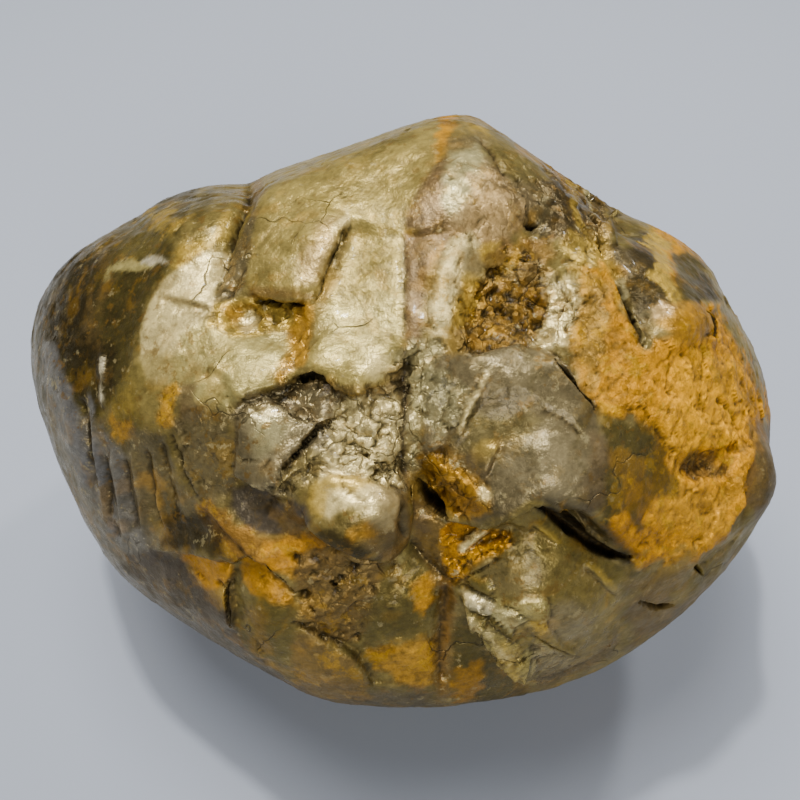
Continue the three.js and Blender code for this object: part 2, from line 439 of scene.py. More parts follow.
class Tint(Enum):
    """The stone's colours, as a screen shows them, from 0 to 255."""

    CREAM = (240, 215, 142)
    PALE = (186, 169, 100)
    KHAKI = (160, 140, 74)
    DULL_KHAKI = (136, 118, 62)
    OLIVE = (114, 100, 50)
    DARK_OLIVE = (80, 70, 34)
    DARK = (50, 42, 24)
    BLACK = (16, 12, 8)
    BROWN = (106, 86, 54)
    WARM_BROWN = (130, 103, 54)
    RUST = (138, 95, 32)
    AMBER = (190, 138, 34)
    OCHRE = (214, 146, 0)
    GOLD = (242, 170, 0)
    YELLOW = (198, 162, 62)
    GREY = (146, 131, 94)
    PALE_GREY = (182, 169, 116)
    WHITE = (224, 210, 170)
    DULL_GREY = (112, 99, 68)
    SLATE = (80, 72, 63)
    PURPLE_BROWN = (108, 86, 58)
    PINK = (188, 154, 100)
    # Painted reflection: the blue-grey sheen of the pale surroundings on a glossy flank
    SHEEN_GREY = (122, 119, 114)

    @property
    def linear(self) -> Array:
        """The colour as light adds it up, from 0 to 1."""
        share = np.array(self.value) / 255.0
        return np.where(share <= 0.04045, share / 12.92, ((share + 0.055) / 1.055) ** 2.4)


@dataclass(frozen=True)
class Patch:
    """An area of the show face with one colour and one kind of surface, and a wavy edge."""

    tint: Tint
    outline: Line
    strength: float
    soft: float
    wave: float
    gloss: float = 0.8
    grain: float = 0.0
    broken: float = 0.0
    pits: float = 0.0
    lift: float = 0.0

    def cover(self, at: Array, wander: Array) -> Array:
        """How much of the patch lies over each place, from 0 to 1.

        Args:
            at: one (right, up) row for each place.
            wander: noise about 0 that makes the edge wavy.

        Returns:
            One share for each place.
        """
        corners = np.array(self.outline)
        reach = self.soft + BOX_MARGIN * self.wave
        near = np.all((at > corners.min(axis=0) - reach) & (at < corners.max(axis=0) + reach), axis=1)
        cover = np.zeros(len(at))
        depth = self.inset(at[near]) + self.wave * wander[near]
        cover[near] = self.strength * smooth(-self.soft, self.soft, depth)
        return cover

    def inset(self, at: Array) -> Array:
        """How far inside the outline each place lies.

        Args:
            at: one (right, up) row for each place.

        Returns:
            One distance for each place, below 0 outside the outline.
        """
        closed = [*self.outline, self.outline[0]]
        inside = np.zeros(len(at), dtype=bool)
        for (x0, y0), (x1, y1) in zip(closed[:-1], closed[1:]):
            if y0 == y1:
                continue
            spans = (y0 > at[:, 1]) != (y1 > at[:, 1])
            crossing = x0 + (at[:, 1] - y0) * (x1 - x0) / (y1 - y0)
            inside ^= spans & (at[:, 0] < crossing)
        return np.where(inside, 1.0, -1.0) * offset_from(closed, at).far


@dataclass(frozen=True)
class Streak:
    """A painted line of one colour, such as a vein, a stained crack, or a painted shadow or highlight.

    tip is how wide it is at its ends, as a share of its width.
    """

    tint: Tint
    line: Line
    width: float
    strength: float
    wave: float
    soft: float = 0.35
    tip: float = 0.4

    def cover(self, at: Array, wander: Array) -> Array:
        """How much of the streak lies over each place, from 0 to 1.

        Args:
            at: one (right, up) row for each place.
            wander: noise about 0 that makes the sides wavy.

        Returns:
            One share for each place.
        """
        off = offset_from(self.line, at)
        half_width = self.width / 2 * (self.tip + (1.0 - self.tip) * ends_fade(off.run, 0.25))
        return self.strength * smooth(-self.soft, self.soft, half_width - off.far + self.wave * wander)


# After its middle and half-widths, a lump says how high it stands and how far it is turned, in degrees
SWELLS: dict[str, Swell] = {
    "bulge": Swell((12, 42), (8, 9), 1.6, 10),
    "pink hump": Swell((20, 39), (7, 6), 0.9),
    "upper boss": Swell((24, 5), (8, 5), 1.2, -5),
    "boss crown": Swell((32, -14), (9, 7), 1.6, -20),
    "boss dip": Swell((22, -6), (5, 4), -0.8, 30),
    "cream lump": Swell((-8, -22), (8, 6.5), 2.4, -10),
    "cream lump crown": Swell((-4, -21), (3.6, 3), 1.0),
    "grey facet": Swell((-27, -7), (4.6, 7), 1.3, -10),
    "spot": Swell((-37, 2), (5, 4.4), 0.7),
    "khaki shoulder": Swell((-15, 32), (6, 8), 0.9, 20),
    "khaki end": Swell((-29, 7), (6, 5), 0.9, 30),
    "chip": Swell((-31, 16.5), (3.4, 3), -1.4, 20),
    "granular hollow": Swell((19, 18), (8, 6), -0.6, 20),
    "hollow floor": Swell((16, 15), (4, 3.4), -0.8, 30),
    "round ochre boss": Swell((56, 15), (6, 4.6), 1.8, 20),
    "ochre swell": Swell((63, 2), (8, 8), 0.9),
    "dark pit": Swell((27, 35), (2.6, 2), -1.6),
    "knob": Swell((74, -15), (5, 7), 1.0),
    "ochre hollow": Swell((60, -13), (3.6, 2.4), -1.4),
    "lower lobe": Swell((28, -38), (10, 7), 1.2, -20),
    "grey oval": Swell((34, -43), (5, 5), 0.6),
    "wedge": Swell((-26, -42), (4, 8), 1.4, 10),
    "dark triangle": Swell((-42, -28), (5, 4), -1.0),
    "left hollow": Swell((-50, -20), (5, 8), -0.8, 60),
    "lower plate": Swell((-15, -54), (7, 4), 1.0, -20),
    "ochre pad": Swell((3, -51), (6, 4), 0.9),
    "amber rays": Swell((12, -31), (5, 4), 0.6),
    "khaki top dip": Swell((-2, 46), (9, 4), -0.5, 10),
    "low panel": Swell((3, 26), (3.4, 8), -0.7),
}

# After its line, a ledge says how high it is, how far it reaches and how worn its edge is
LEDGES: dict[str, Ledge] = {
    "ridge step": Ledge([(-9.6, 37), (-11.2, 33), (-13, 30), (-15, 26), (-16, 22.6), (-17, 19)], -1.4, 5,
        0.25),
    "shelf": Ledge([(-30, 21), (-26, 19.9), (-22, 19.4), (-18.6, 19.8)], 1.6, 4, 0.25),
    "chip rim": Ledge([(-35, 15), (-33.6, 18.6), (-30, 19), (-27.4, 16.6), (-28.4, 14)], 0.9, 3, 0.3),
    "spot rim": Ledge([(-41, 4), (-38, 6.2), (-34.6, 4.4), (-33.4, 1), (-34.6, -1)], 0.5, 3, 0.4),
    "cream facet end": Ledge([(-48.4, 20.6), (-45, 20.2), (-41.4, 19.2), (-37.6, 18.4)], 0.6, 3, 0.25),
    "broken rim": Ledge([(-33, -2), (-31, 0.4), (-28, 1.6), (-24, 2.4), (-21, 3.6), (-18, 5), (-15, 4.4),
        (-13, 2.4), (-10, 0.8), (-6, 2), (-2, 2.6)], 2.0, 4, 0.3),
    "grey facet ridge": Ledge([(-12, -3.2), (-15.2, -4.8), (-18, -7.2), (-20.8, -10), (-22.4, -12.8),
        (-23.6, -16.4)], -1.5, 3.4, 0.3),
    "grey facet crest": Ledge([(-27, 0), (-24, -1.2), (-22, -2.6), (-18.6, -4.4), (-15.4, -4)], -0.8, 2.6,
        0.25),
    "grey facet fan": Ledge([(-24, -19), (-21.6, -15), (-17.6, -12.6), (-13.4, -12.4)], 0.7, 2.4, 0.25),
    "grey facet foot": Ledge([(-34, -14.6), (-30, -16.6), (-27, -18.4), (-24, -20.4)], 1.6, 4, 0.3),
    "grey facet side": Ledge([(-30, 0), (-32, -5), (-32.6, -10), (-33, -15)], 0.9, 3, 0.4),
    "lump foot": Ledge([(-20, -21), (-18, -25), (-14, -28), (-9, -30.6), (-3, -31.4), (0.6, -28.6),
        (1.6, -23), (1.8, -17)], 2.2, 4, 0.3),
    "lump back": Ledge([(-16, -15), (-9, -15.6), (-4, -17.4), (0, -18)], -0.8, 3, 0.4),
    "boss top": Ledge([(14, 8.6), (20, 10.4), (28, 11), (31, 10)], -1.2, 3.6, 0.3),
    "boss side": Ledge([(30, 10), (33.6, 6.6), (36, 2), (40, -1.6)], -1.4, 4, 0.3),
    "boss inner": Ledge([(20, -9), (18.6, -12), (17, -15.6)], -0.8, 3, 0.3),
    "mouth": Ledge([(8, -21.6), (9.2, -24.2), (12, -24.6), (17.2, -25.2), (20.8, -23.8), (24.8, -22.4),
        (28, -20.6), (31.4, -22.6), (35, -25.4), (39, -28), (43, -30.4), (46, -31.4)], 1.4, 4.4, 0.25),
    "mouth lip": Ledge([(26.4, -25), (29, -27), (31.6, -28.8)], 0.8, 2.4, 0.3),
    "rim step": Ledge([(36.4, -33), (38.8, -34.8), (40.8, -37.2), (43.2, -39.2)], 0.8, 2.6, 0.3),
    "flake edge": Ledge([(12, -39.2), (14.8, -44), (17.2, -48), (20, -51.6), (22, -54), (24.8, -55.4),
        (28, -55)], 2.4, 4, 0.25),
    "flake foot": Ledge([(26.8, -46.4), (29.6, -48.4), (32.8, -49.8), (35.2, -50.8)], 0.8, 2.6, 0.25),
    "lobe rim": Ledge([(23, -55), (28, -55.2), (32, -54), (38, -51.6), (42, -49), (44.4, -45.6)], 1.0, 2.6,
        0.3),
    "lobe side": Ledge([(28.6, -39), (29, -44), (32, -48.6), (36, -50)], -0.7, 3, 0.3),
    "lobe slot": Ledge([(39, 32.4), (42.5, 26), (44.8, 21.5), (47.6, 16.4), (49.2, 11.2)], -1.9, 4, 0.25),
    "ochre boss rim": Ledge([(61.6, 18), (63, 15), (63, 12.6)], -1.0, 3, 0.3),
    "ochre rim": Ledge([(71, -10), (69, -15), (68.6, -21), (65, -27), (60.6, -30.6), (57.6, -35)], -1.3, 4,
        0.4),
    "ochre ledge": Ledge([(60, -11), (64, -10), (68, -8)], 1.0, 3, 0.3),
    "ochre hollow": Ledge([(56, -15), (59, -16), (63, -15.6), (66, -16)], -0.9, 3, 0.3),
    "purple edge": Ledge([(1, 33.6), (4.6, 33.4), (9, 34)], 0.7, 3, 0.25),
    "white ridge": Ledge([(13.6, 33), (9.6, 29), (7.4, 24), (6.4, 19), (6.6, 12)], 0.8, 3, 0.9),
    "hollow top": Ledge([(13.6, 21), (18, 25.4), (24, 26.6), (29, 25.6)], 0.5, 3.0, 0.5),
    "ridge chip": Ledge([(28, 12), (31, 14), (33, 18), (35, 23)], -0.9, 2.6, 0.25),
    "ridge facet": Ledge([(30, 20), (33, 20.6), (36, 22)], 0.6, 2.0, 0.25),
    "lobe crease": Ledge([(39.6, 34), (42, 36.6), (43, 34), (44, 31)], -1.0, 3, 0.4),
    "lobe facet": Ledge([(50, 23.6), (54, 20.6), (55.6, 22)], 0.5, 2.4, 0.3),
    "shiny step": Ledge([(22.6, 9.8), (27, 11.2), (32, 9.4), (34, 7)], 1.0, 3, 0.25),
    "wedge top": Ledge([(-37, -31.4), (-33, -32.6), (-30.6, -31.4), (-27, -32.6), (-24, -35.4),
        (-20.6, -39)], 1.5, 3.6, 0.3),
    "wedge side": Ledge([(-34, -32.6), (-34, -37), (-33.4, -41), (-32.6, -46)], -1.2, 3, 0.3),
    "left plane": Ledge([(-50, -30), (-45, -31), (-40, -31.6), (-36, -32.4)], 1.2, 3.6, 0.3),
    "plate edge": Ledge([(-20, -45), (-14, -48), (-9, -50.8), (-6.4, -54.6), (-5, -58)], -1.2, 3.6, 0.3),
    "pad edge": Ledge([(-8, -50), (-3, -50.6), (0, -49)], -0.7, 3, 0.3),
    "rust ledge": Ledge([(-40, -21), (-36, -25.6), (-31, -30), (-26, -33)], 0.9, 3, 0.4),
    "rust fan": Ledge([(10, -12.4), (14, -16), (18, -18.6)], -0.8, 2.6, 0.3),
    "yellow flake": Ledge([(13, -29.6), (17, -26.4), (21.6, -25), (25.6, -26)], 0.7, 2.4, 0.3),
}

# After its line, a groove says how wide and how deep it is
GROOVES: dict[str, Groove] = {
    "brow": Groove([(-30, 45), (-30.6, 40), (-32.6, 35.6), (-34, 31), (-35.4, 26), (-37, 20.6)], 1.1, 1.5),
    "brow inner": Groove([(-27, 44), (-29.6, 39.6), (-31.6, 34.6)], 0.6, 0.6),
    "streaked side": Groove([(-31, 27), (-32.6, 23), (-34.6, 19.6)], 0.6, 0.5),
    "centre line": Groove([(0.6, 34), (0.4, 20), (0.6, 12)], 0.4, 0.45),
    "centre fissure": Groove([(1.6, 11), (0.8, 4), (0.4, -6), (0.8, -12), (1.8, -17)], 0.9, 1.3),
    "lobe slot": Groove([(39.6, 31), (42.6, 26), (46, 18), (48, 12)], 0.8, 1.4),
    "side crease": Groove([(31, 26), (32.6, 22), (36, 17)], 0.8, 0.8),
    "bulge crack": Groove([(15.6, 52), (17.6, 50), (19.4, 46.6), (20.6, 43.4)], 0.4, 0.7),
    "boss groove": Groove([(28, -1.6), (33, -4), (37, -8)], 0.8, 0.5),
    "vein": Groove([(9, -36), (8.6, -42), (8, -50), (8.4, -58)], 1.6, 1.3),
    "star left": Groove([(2, -28), (5, -32), (9.6, -36)], 0.8, 0.9),
    "star right": Groove([(11, -36.6), (16, -38.6), (20, -41)], 0.5, 0.8),
    "scratch ridge": Groove([(18, 6), (14.6, 0), (11, -8.6)], 0.45, -0.6),
    "lower crack": Groove([(-37, -36), (-35, -37.6), (-33.6, -36)], 0.4, 0.8),
    "ochre crack": Groove([(62, 1), (66, -2.6), (69, -8)], 0.4, 0.6),
    "flute one": Groove([(-64.4, 1), (-62.8, -6.8), (-62, -11.6), (-61.6, -18)], 0.8, 1.5),
    "flute band": Groove([(-68, 8), (-66.6, -2), (-64.6, -12)], 1.6, -0.7),
    "flute two": Groove([(-59.6, -10), (-58.8, -16), (-58, -24), (-56, -29)], 0.7, 1.0),
    "flute three": Groove([(-55.6, -11), (-55, -19), (-53, -27)], 0.8, 1.1),
    "flute four": Groove([(-51, -9), (-50.8, -16), (-50, -22), (-48, -27)], 0.7, 1.0),
    "flute five": Groove([(-48, -7), (-47.4, -13), (-46.4, -19), (-44.4, -25)], 0.7, 0.9),
    "glint ridge": Groove([(-59.4, 10), (-59, 4), (-59, -2)], 0.6, -0.8),
    "ridge one": Groove([(-61, 0), (-60.4, -9), (-59.6, -17), (-57.6, -27)], 0.7, -1.0),
    "ridge two": Groove([(-57.4, -9), (-56.8, -17), (-54.8, -28)], 0.6, -0.8),
    "ridge three": Groove([(-53.2, -10), (-52.6, -18), (-51, -27)], 0.7, -0.8),
    "ridge four": Groove([(-49.4, -18), (-48.6, -22), (-46.4, -26)], 0.5, -0.6),
    "ridge five": Groove([(-46, -19.6), (-45, -22.4), (-43.6, -25)], 0.4, -0.5),
    "gold crease": Groove([(-46, -6), (-44.4, -10.8), (-43.6, -14), (-40, -20.4)], 0.45, 0.8),
    "cream ridge": Groove([(-43.4, -12), (-42, -16.4), (-39.4, -20)], 0.5, -0.5),
    "star one": Groove([(11.2, -37), (13.4, -35.4), (17, -33.4), (20.4, -31)], 0.3, 0.6),
    "star two": Groove([(11, -36), (12.8, -33.2), (16, -31), (20.8, -29)], 0.3, 0.6),
    "star three": Groove([(10.8, -35), (12, -31.8), (14.4, -29.6)], 0.3, 0.6),
    "ray ridge": Groove([(11.6, -36.2), (14.4, -33.8), (19, -31.6)], 0.35, -0.5),
    "crumple one": Groove([(-12, -3), (-9.6, -6.4), (-5.6, -7.6), (-1, -6.8)], 0.35, 0.8),
    "crumple two": Groove([(-12.4, -8), (-8.8, -9), (-6, -12.4), (-1.6, -14)], 0.35, 0.7),
    "crumple three": Groove([(-5, 1), (-5.6, -3.6), (-2.4, -5.4), (-1.4, -10)], 0.35, 0.7),
    "facet line": Groove([(-33, -11.6), (-28, -11.8), (-24, -12)], 0.2, 0.3),
    "lump crease": Groove([(-12, -14.6), (-11, -18), (-7.4, -20.4)], 0.3, 0.5),
    "lump lens": Groove([(-1.6, -20), (-2, -23.4), (-0.8, -27)], 0.6, 0.7),
}

# After its line, a cleft says how wide and deep it is, and its lean as a share of the depth
# Each cleft is also painted black inside, as painted shade
CLEFTS: dict[str, Cleft] = {
    "mouth": Cleft([(26.6, -21), (29, -21.6), (31.6, -23.5), (35.5, -26.7), (39.2, -29.6), (42.4, -31),
        (46, -31.4)], 3.0, 5.0, 0.1),
    "shelf": Cleft([(-29, 19.8), (-24.5, 18.9), (-19, 18.9)], 1.1, 3.0, 0.3),
    "ridge step": Cleft([(-11.2, 34), (-13, 30), (-15, 26), (-16, 22.6), (-17, 19.6)], 0.6, 1.5, 0.2),
    "pocket": Cleft([(3.6, -16), (5, -18), (6.4, -20), (9, -23.4)], 3.4, 6.0, 0.2),
    "lump foot": Cleft([(-17, -26), (-13, -28.6), (-8, -31), (-3.4, -31.8)], 0.9, 2.0, 0.5),
    "lump side": Cleft([(1.2, -27), (2, -22), (2, -17)], 0.8, 2.4, 0.0),
    "lobe slot": Cleft([(42, 26), (45.2, 19.6), (47.2, 15), (48.6, 10.6)], 2.0, 4.4, 0.0),
    "lobe line": Cleft([(38.6, 32), (41, 28.6), (42.5, 25.6)], 0.9, 2.4, 0.0),
    "heel slit": Cleft([(48, -40.4), (51, -41.6), (54.6, -41)], 1.3, 3.0, 0.4),
    "heel notch": Cleft([(59, -33), (60.6, -35)], 1.2, 2.4, 0.0),
    "boss crack": Cleft([(30.6, 7.6), (33, 5), (36, 1.5), (39, -2)], 0.9, 2.2, 0.0),
    "broken rim": Cleft([(-20.6, 3.6), (-17, 4.9), (-13.6, 3)], 1.0, 2.4, 0.5),
    "brow": Cleft([(-31.4, 39), (-33.4, 33), (-34.6, 30)], 1.0, 1.6, 0.2),
    "dark pit": Cleft([(25, 35), (28, 35.4)], 1.8, 2.0, 0.0),
    "boss arc": Cleft([(60.4, 17.4), (62.4, 14.6), (62.6, 12)], 0.7, 1.4, 0.0),
    "wedge notch": Cleft([(-34.6, -36), (-34.4, -40), (-33.6, -45)], 1.2, 2.0, 0.0),
    "flake edge": Cleft([(13.4, -42), (15.6, -46), (18, -49.8), (21.4, -53.6)], 1.0, 2.2, 0.4),
    "chip foot": Cleft([(26.8, -46.8), (29.6, -48.8), (33, -50.2)], 0.5, 1.2, 0.3),
    "facet groove": Cleft([(-13, -3.6), (-16.6, -6), (-20.4, -9.8), (-22.8, -13.6)], 0.8, 1.2, 0.0),
    "flat foot": Cleft([(-30, -17), (-26.4, -18.4), (-24.6, -20)], 0.7, 1.6, 0.4),
    "wedge top": Cleft([(-33, -33), (-30, -31), (-27, -32.2), (-23.2, -35.6), (-20.8, -39)], 0.6, 1.4, 0.2),
    "flute dark": Cleft([(-63.4, -3), (-62.6, -8), (-62, -12)], 0.8, 1.2, 0.0),
    "pit one": Cleft([(-14, -36), (-13, -37)], 0.9, 1.4, 0.0),
    "pit two": Cleft([(-18, -41), (-17, -42.6)], 0.9, 1.4, 0.0),
    "thin mouth": Cleft([(9.2, -24), (13, -24.8), (17.2, -25.4), (20.8, -24), (24.8, -22.6), (27, -21)], 0.6,
        1.8, 0.4),
}

# Areas of the show face, in the order that they lie over each other. After its outline, each says how
# strongly it covers, how soft its edge is and how far that edge wanders
# Some areas are painted highlights, sheen or shade, as marked
PATCHES: dict[str, Patch] = {
    "show face": Patch(Tint.DULL_KHAKI, [(-90, 70), (90, 70), (90, -75), (-90, -75)], 0.8, 1.0, 0.0,
        gloss=0.85),
    "khaki top": Patch(Tint.KHAKI, [(-28, 44), (-20, 50), (0, 57), (12, 58), (8, 48), (4, 40), (0, 34),
        (-10, 40)], 0.9, 2.0, 1.6),
    "centre plane": Patch(Tint.KHAKI, [(-11, 46), (2, 48), (1, 34), (0.6, 20), (0.6, 12), (-1, 8), (-2, 3),
        (-7, 2), (-11, 2), (-13, 4), (-16, 5.6), (-18.4, 7), (-17, 12), (-15, 18), (-13.4, 22), (-11, 28),
        (-10, 34)], 1.0, 0.7, 0.6),
    "centre plane foot": Patch(Tint.PALE, [(-14, 20), (0, 22), (0.4, 9), (-3, 4), (-10, 4), (-16, 8)], 0.75,
        3.0, 2.0),
    "pale corner": Patch(Tint.CREAM, [(-6, 10.6), (-2, 9), (-2, 5), (-5, 4), (-8, 6)], 0.6, 1.2, 0.8),
    "facet": Patch(Tint.KHAKI, [(-28.4, 43), (-24, 46), (-16, 48), (-11, 44), (-10.4, 38), (-12, 32),
        (-14.6, 27), (-16.6, 21), (-19, 20), (-25, 20.6), (-29.4, 21.6), (-31.6, 25), (-31.6, 30),
        (-30.4, 36)], 1.0, 0.8, 0.6),
    "facet shade": Patch(Tint.DULL_KHAKI, [(-30, 38), (-25, 38), (-24, 28), (-26, 21), (-31, 24)], 0.8, 2.4,
        1.4),
    # Painted highlight: the pinkish gloss near the facet's right edge
    "facet highlight": Patch(Tint.PINK, [(-16, 34), (-11.6, 36), (-13, 30), (-17, 23), (-20, 24), (-19, 30)],
        0.55, 2.0, 1.0),
    "facet rust": Patch(Tint.WARM_BROWN, [(-30, 22.6), (-26, 22.4), (-20, 21.8), (-17, 21), (-18, 20),
        (-30, 20.6)], 0.9, 0.8, 0.6),
    "dark end": Patch(Tint.DARK_OLIVE, [(-80, 14), (-76, 30), (-64, 40), (-40, 47), (-39, 43), (-41.6, 38),
        (-44, 34), (-45.6, 28), (-47, 24), (-50, 19.6), (-52, 12), (-54, 5), (-57, 0), (-61, -5), (-66, -4),
        (-74, 2)], 1.0, 1.0, 1.0, gloss=0.95),
    "dark end core": Patch(Tint.DARK, [(-76, 20), (-66, 33), (-60, 30), (-58, 14), (-56, 4), (-60, -2),
        (-70, 6)], 0.85, 3.0, 3.0, gloss=0.95),
    "dark end green": Patch(Tint.OLIVE, [(-62, 34), (-50, 40), (-44, 40), (-48, 30), (-56, 28), (-62, 30)],
        0.6, 2.4, 3.0, grain=0.5, gloss=0.9),
    "dark end rust": Patch(Tint.WARM_BROWN, [(-59, 34), (-56, 34), (-58, 22), (-60, 10), (-62, 12),
        (-61, 26)], 0.4, 1.2, 2.4, gloss=0.9),
    "dark end gold": Patch(Tint.YELLOW, [(-51, 38), (-46, 39), (-45, 35), (-50, 34)], 0.5, 1.0, 2.0,
        grain=0.7),
    # Painted reflection: blue-grey sheen over the steep left flank
    "left side": Patch(Tint.SHEEN_GREY, [(-78, 14), (-70, 6), (-64, -4), (-61, -5), (-57, -2), (-54, -14),
        (-50, -26), (-48, -33), (-56, -38), (-66, -24), (-74, -10)], 0.8, 1.2, 1.0, gloss=1.0),
    "left edge": Patch(Tint.DARK_OLIVE, [(-76, 8), (-71.6, 6), (-70, -2), (-67, -12), (-64, -20), (-68, -22),
        (-76, -6)], 0.8, 0.8, 1.0, gloss=0.9),
    # Painted reflection: blue-grey sheen along a flute ridge
    "sheen band one": Patch(Tint.SHEEN_GREY, [(-71.2, 11.6), (-68.8, 11.2), (-65.6, 2.4), (-64.4, -3),
        (-62.6, -11.6), (-62, -18), (-64, -17), (-66.8, -10), (-69.6, -2), (-71.6, 4)], 0.85, 0.5, 0.4,
        gloss=1.0),
    "flute dark": Patch(Tint.DARK, [(-64.4, 1), (-62.8, 0), (-62, -6), (-61.6, -12), (-62.6, -14),
        (-64, -5)], 0.85, 0.4, 0.4),
    # Painted reflection: blue-grey sheen along a flute ridge
    "sheen band two": Patch(Tint.SHEEN_GREY, [(-62.4, 2.4), (-60.8, -2), (-60, -8.4), (-59.2, -11.6),
        (-57.2, -16.4), (-56.8, -22), (-56, -29), (-58, -27), (-60.4, -20.4), (-61.2, -14), (-61.8, -8.4),
        (-62.6, -1.2)], 0.8, 0.4, 0.4, gloss=1.0),
    "flute brown": Patch(Tint.WARM_BROWN, [(-60, -17), (-58.4, -16), (-57.8, -22), (-58.8, -25), (-60, -21)],
        0.7, 0.4, 0.5, gloss=1.0),
    "flute gold": Patch(Tint.WARM_BROWN, [(-52.8, -14), (-51.8, -18), (-51.2, -24), (-52.4, -24),
        (-53.4, -18)], 0.6, 0.4, 0.8, gloss=0.9),
    "olive smooth": Patch(Tint.OLIVE, [(-59.2, -2), (-54, 6.8), (-51.6, 8), (-52.4, 0), (-51.6, -5.2),
        (-51.2, -11.6), (-54, -10.8), (-57.2, -8.4), (-59.2, -5.6)], 0.9, 0.7, 0.5, gloss=0.95),
    "olive glow": Patch(Tint.YELLOW, [(-56, 1), (-53, 4), (-52.6, -3), (-56, -6), (-58.6, -4)], 0.4, 1.4,
        0.8, gloss=0.95),
    "gold smooth": Patch(Tint.AMBER, [(-57.2, -3.6), (-53.4, -3.4), (-53.2, -7.6), (-55.6, -8.6), (-58, -7)],
        0.8, 0.5, 1.2, gloss=0.7, grain=0.8),
    "khaki strip": Patch(Tint.DULL_KHAKI, [(-39.6, 43), (-36, 45), (-30, 46), (-30, 42), (-31.6, 38.6),
        (-33.4, 34.6), (-34.4, 31), (-35, 29), (-39, 29), (-42, 27), (-46, 25), (-46, 28), (-44.6, 32),
        (-42.6, 37)], 1.0, 0.6, 0.5, gloss=0.95),
    "strip yellow": Patch(Tint.YELLOW, [(-45.6, 26.4), (-44, 30.4), (-40, 32), (-38, 30.6), (-41, 27.6),
        (-44, 25.6)], 0.7, 0.8, 0.5),
    "strip gold": Patch(Tint.YELLOW, [(-36, 37), (-33.6, 39.4), (-33.6, 35), (-35.4, 31.6), (-38, 30.6),
        (-37, 34)], 0.55, 0.8, 0.6),
    "strip shade": Patch(Tint.DARK_OLIVE, [(-39, 42.6), (-36.6, 42), (-38.6, 38), (-41, 35.6), (-42, 37.4)],
        0.8, 0.7, 0.6),
    "brow shade": Patch(Tint.DULL_GREY, [(-34, 30.4), (-31.6, 34), (-29.4, 40), (-28.6, 38), (-30, 30),
        (-31, 22), (-34, 19.4), (-37, 19.6), (-36.4, 23), (-34.6, 27)], 0.9, 0.7, 0.5, gloss=0.95,
        broken=0.3),
    "brow rust": Patch(Tint.WARM_BROWN, [(-30, 45), (-27, 46), (-28, 41), (-30, 39)], 0.8, 0.7, 0.6),
    "cream facet": Patch(Tint.CREAM, [(-39, 29.6), (-34.4, 30.2), (-34.4, 27.6), (-35.6, 25), (-37.2, 22),
        (-37.6, 19.6), (-38.6, 17.4), (-40.4, 15), (-42.4, 12.6), (-44, 9), (-46, 3), (-50, 3), (-52, 8),
        (-52, 14), (-50.4, 19), (-48, 23), (-45, 25.6), (-42, 27.6)], 0.95, 0.5, 0.3),
    "cream facet foot": Patch(Tint.KHAKI, [(-53, 9), (-45, 10), (-44, 4), (-47, -2), (-52, -1), (-54, 4)],
        0.7, 2.4, 1.6),
    "low khaki": Patch(Tint.PALE, [(-44, 13), (-40, 15.4), (-36, 15), (-30, 12), (-24, 14), (-21.6, 12),
        (-21, 6), (-24, 3), (-29, 1.6), (-33, -1), (-38, -2), (-43, -1), (-46, 3)], 0.85, 0.9, 0.8),
    "low khaki shade": Patch(Tint.DULL_KHAKI, [(-40, 15), (-35, 15), (-31, 11), (-36, 8), (-41, 9)], 0.5,
        1.6, 1.4),
    "spot": Patch(Tint.PALE, [(-40.6, 2), (-38, 5.6), (-34.4, 4.6), (-33, 1), (-34.6, -2), (-38.4, -2.4)],
        0.8, 0.5, 0.3, gloss=0.9),
    "purple mottle": Patch(Tint.PURPLE_BROWN, [(-44, 3), (-40.6, 3), (-41, -1), (-38, -4), (-44, -4)], 0.75,
        0.9, 0.9),
    "rust speckle": Patch(Tint.RUST, [(-43, 11), (-39.6, 11), (-40, 6), (-43, 4)], 0.35, 1.0, 1.8),
    "gold crust": Patch(Tint.AMBER, [(-47, 3), (-44.8, 3.4), (-45.2, -1), (-46.4, -5.6), (-48.4, -4),
        (-48.2, 0)], 0.8, 0.5, 1.4, gloss=0.6, grain=0.9, broken=0.3),
    "chip ground": Patch(Tint.YELLOW, [(-37, 19), (-30, 20), (-19, 19.4), (-20, 14), (-24, 13.4), (-28, 13),
        (-34, 12.6), (-38, 15)], 0.8, 0.7, 0.6, gloss=0.95, broken=0.4),
    "chip amber": Patch(Tint.AMBER, [(-36, 18.6), (-32, 19.4), (-31.6, 17), (-34, 16)], 0.7, 0.6, 0.4,
        gloss=0.95),
    "chip glass": Patch(Tint.CREAM, [(-33, 16), (-30.6, 18.6), (-27.8, 16.6), (-28.6, 14), (-31, 13.2)], 0.8,
        0.4, 0.3, gloss=1.0),
    "chip dark": Patch(Tint.DARK_OLIVE, [(-36, 13.6), (-34, 15.4), (-33, 14), (-34, 12.4)], 0.8, 0.4, 0.6),
    "amber strip": Patch(Tint.AMBER, [(-20, 20), (-17, 19), (-18, 13), (-18.6, 8), (-21, 4.6), (-24, 3),
        (-25, 5), (-22.4, 9), (-22.6, 14)], 0.85, 0.8, 0.8, gloss=0.95, broken=0.3),
    "purple patch": Patch(Tint.PURPLE_BROWN, [(1, 37), (3, 41), (6, 45), (9.6, 49), (10, 44), (9, 40),
        (10, 36), (11.6, 34), (8, 33.6), (1, 33.8)], 0.85, 0.7, 0.7, gloss=0.85),
    "low panel": Patch(Tint.PURPLE_BROWN, [(0.6, 33.6), (12, 33.6), (9, 30), (7.4, 25), (6.6, 20), (6, 14),
        (4, 10), (0.8, 12)], 0.9, 0.5, 0.4, gloss=0.7),
    "panel shade": Patch(Tint.OLIVE, [(8, 30), (5.4, 26), (4, 18), (4, 12), (6.4, 12), (6.4, 20), (8, 27)],
        0.7, 1.0, 0.6),
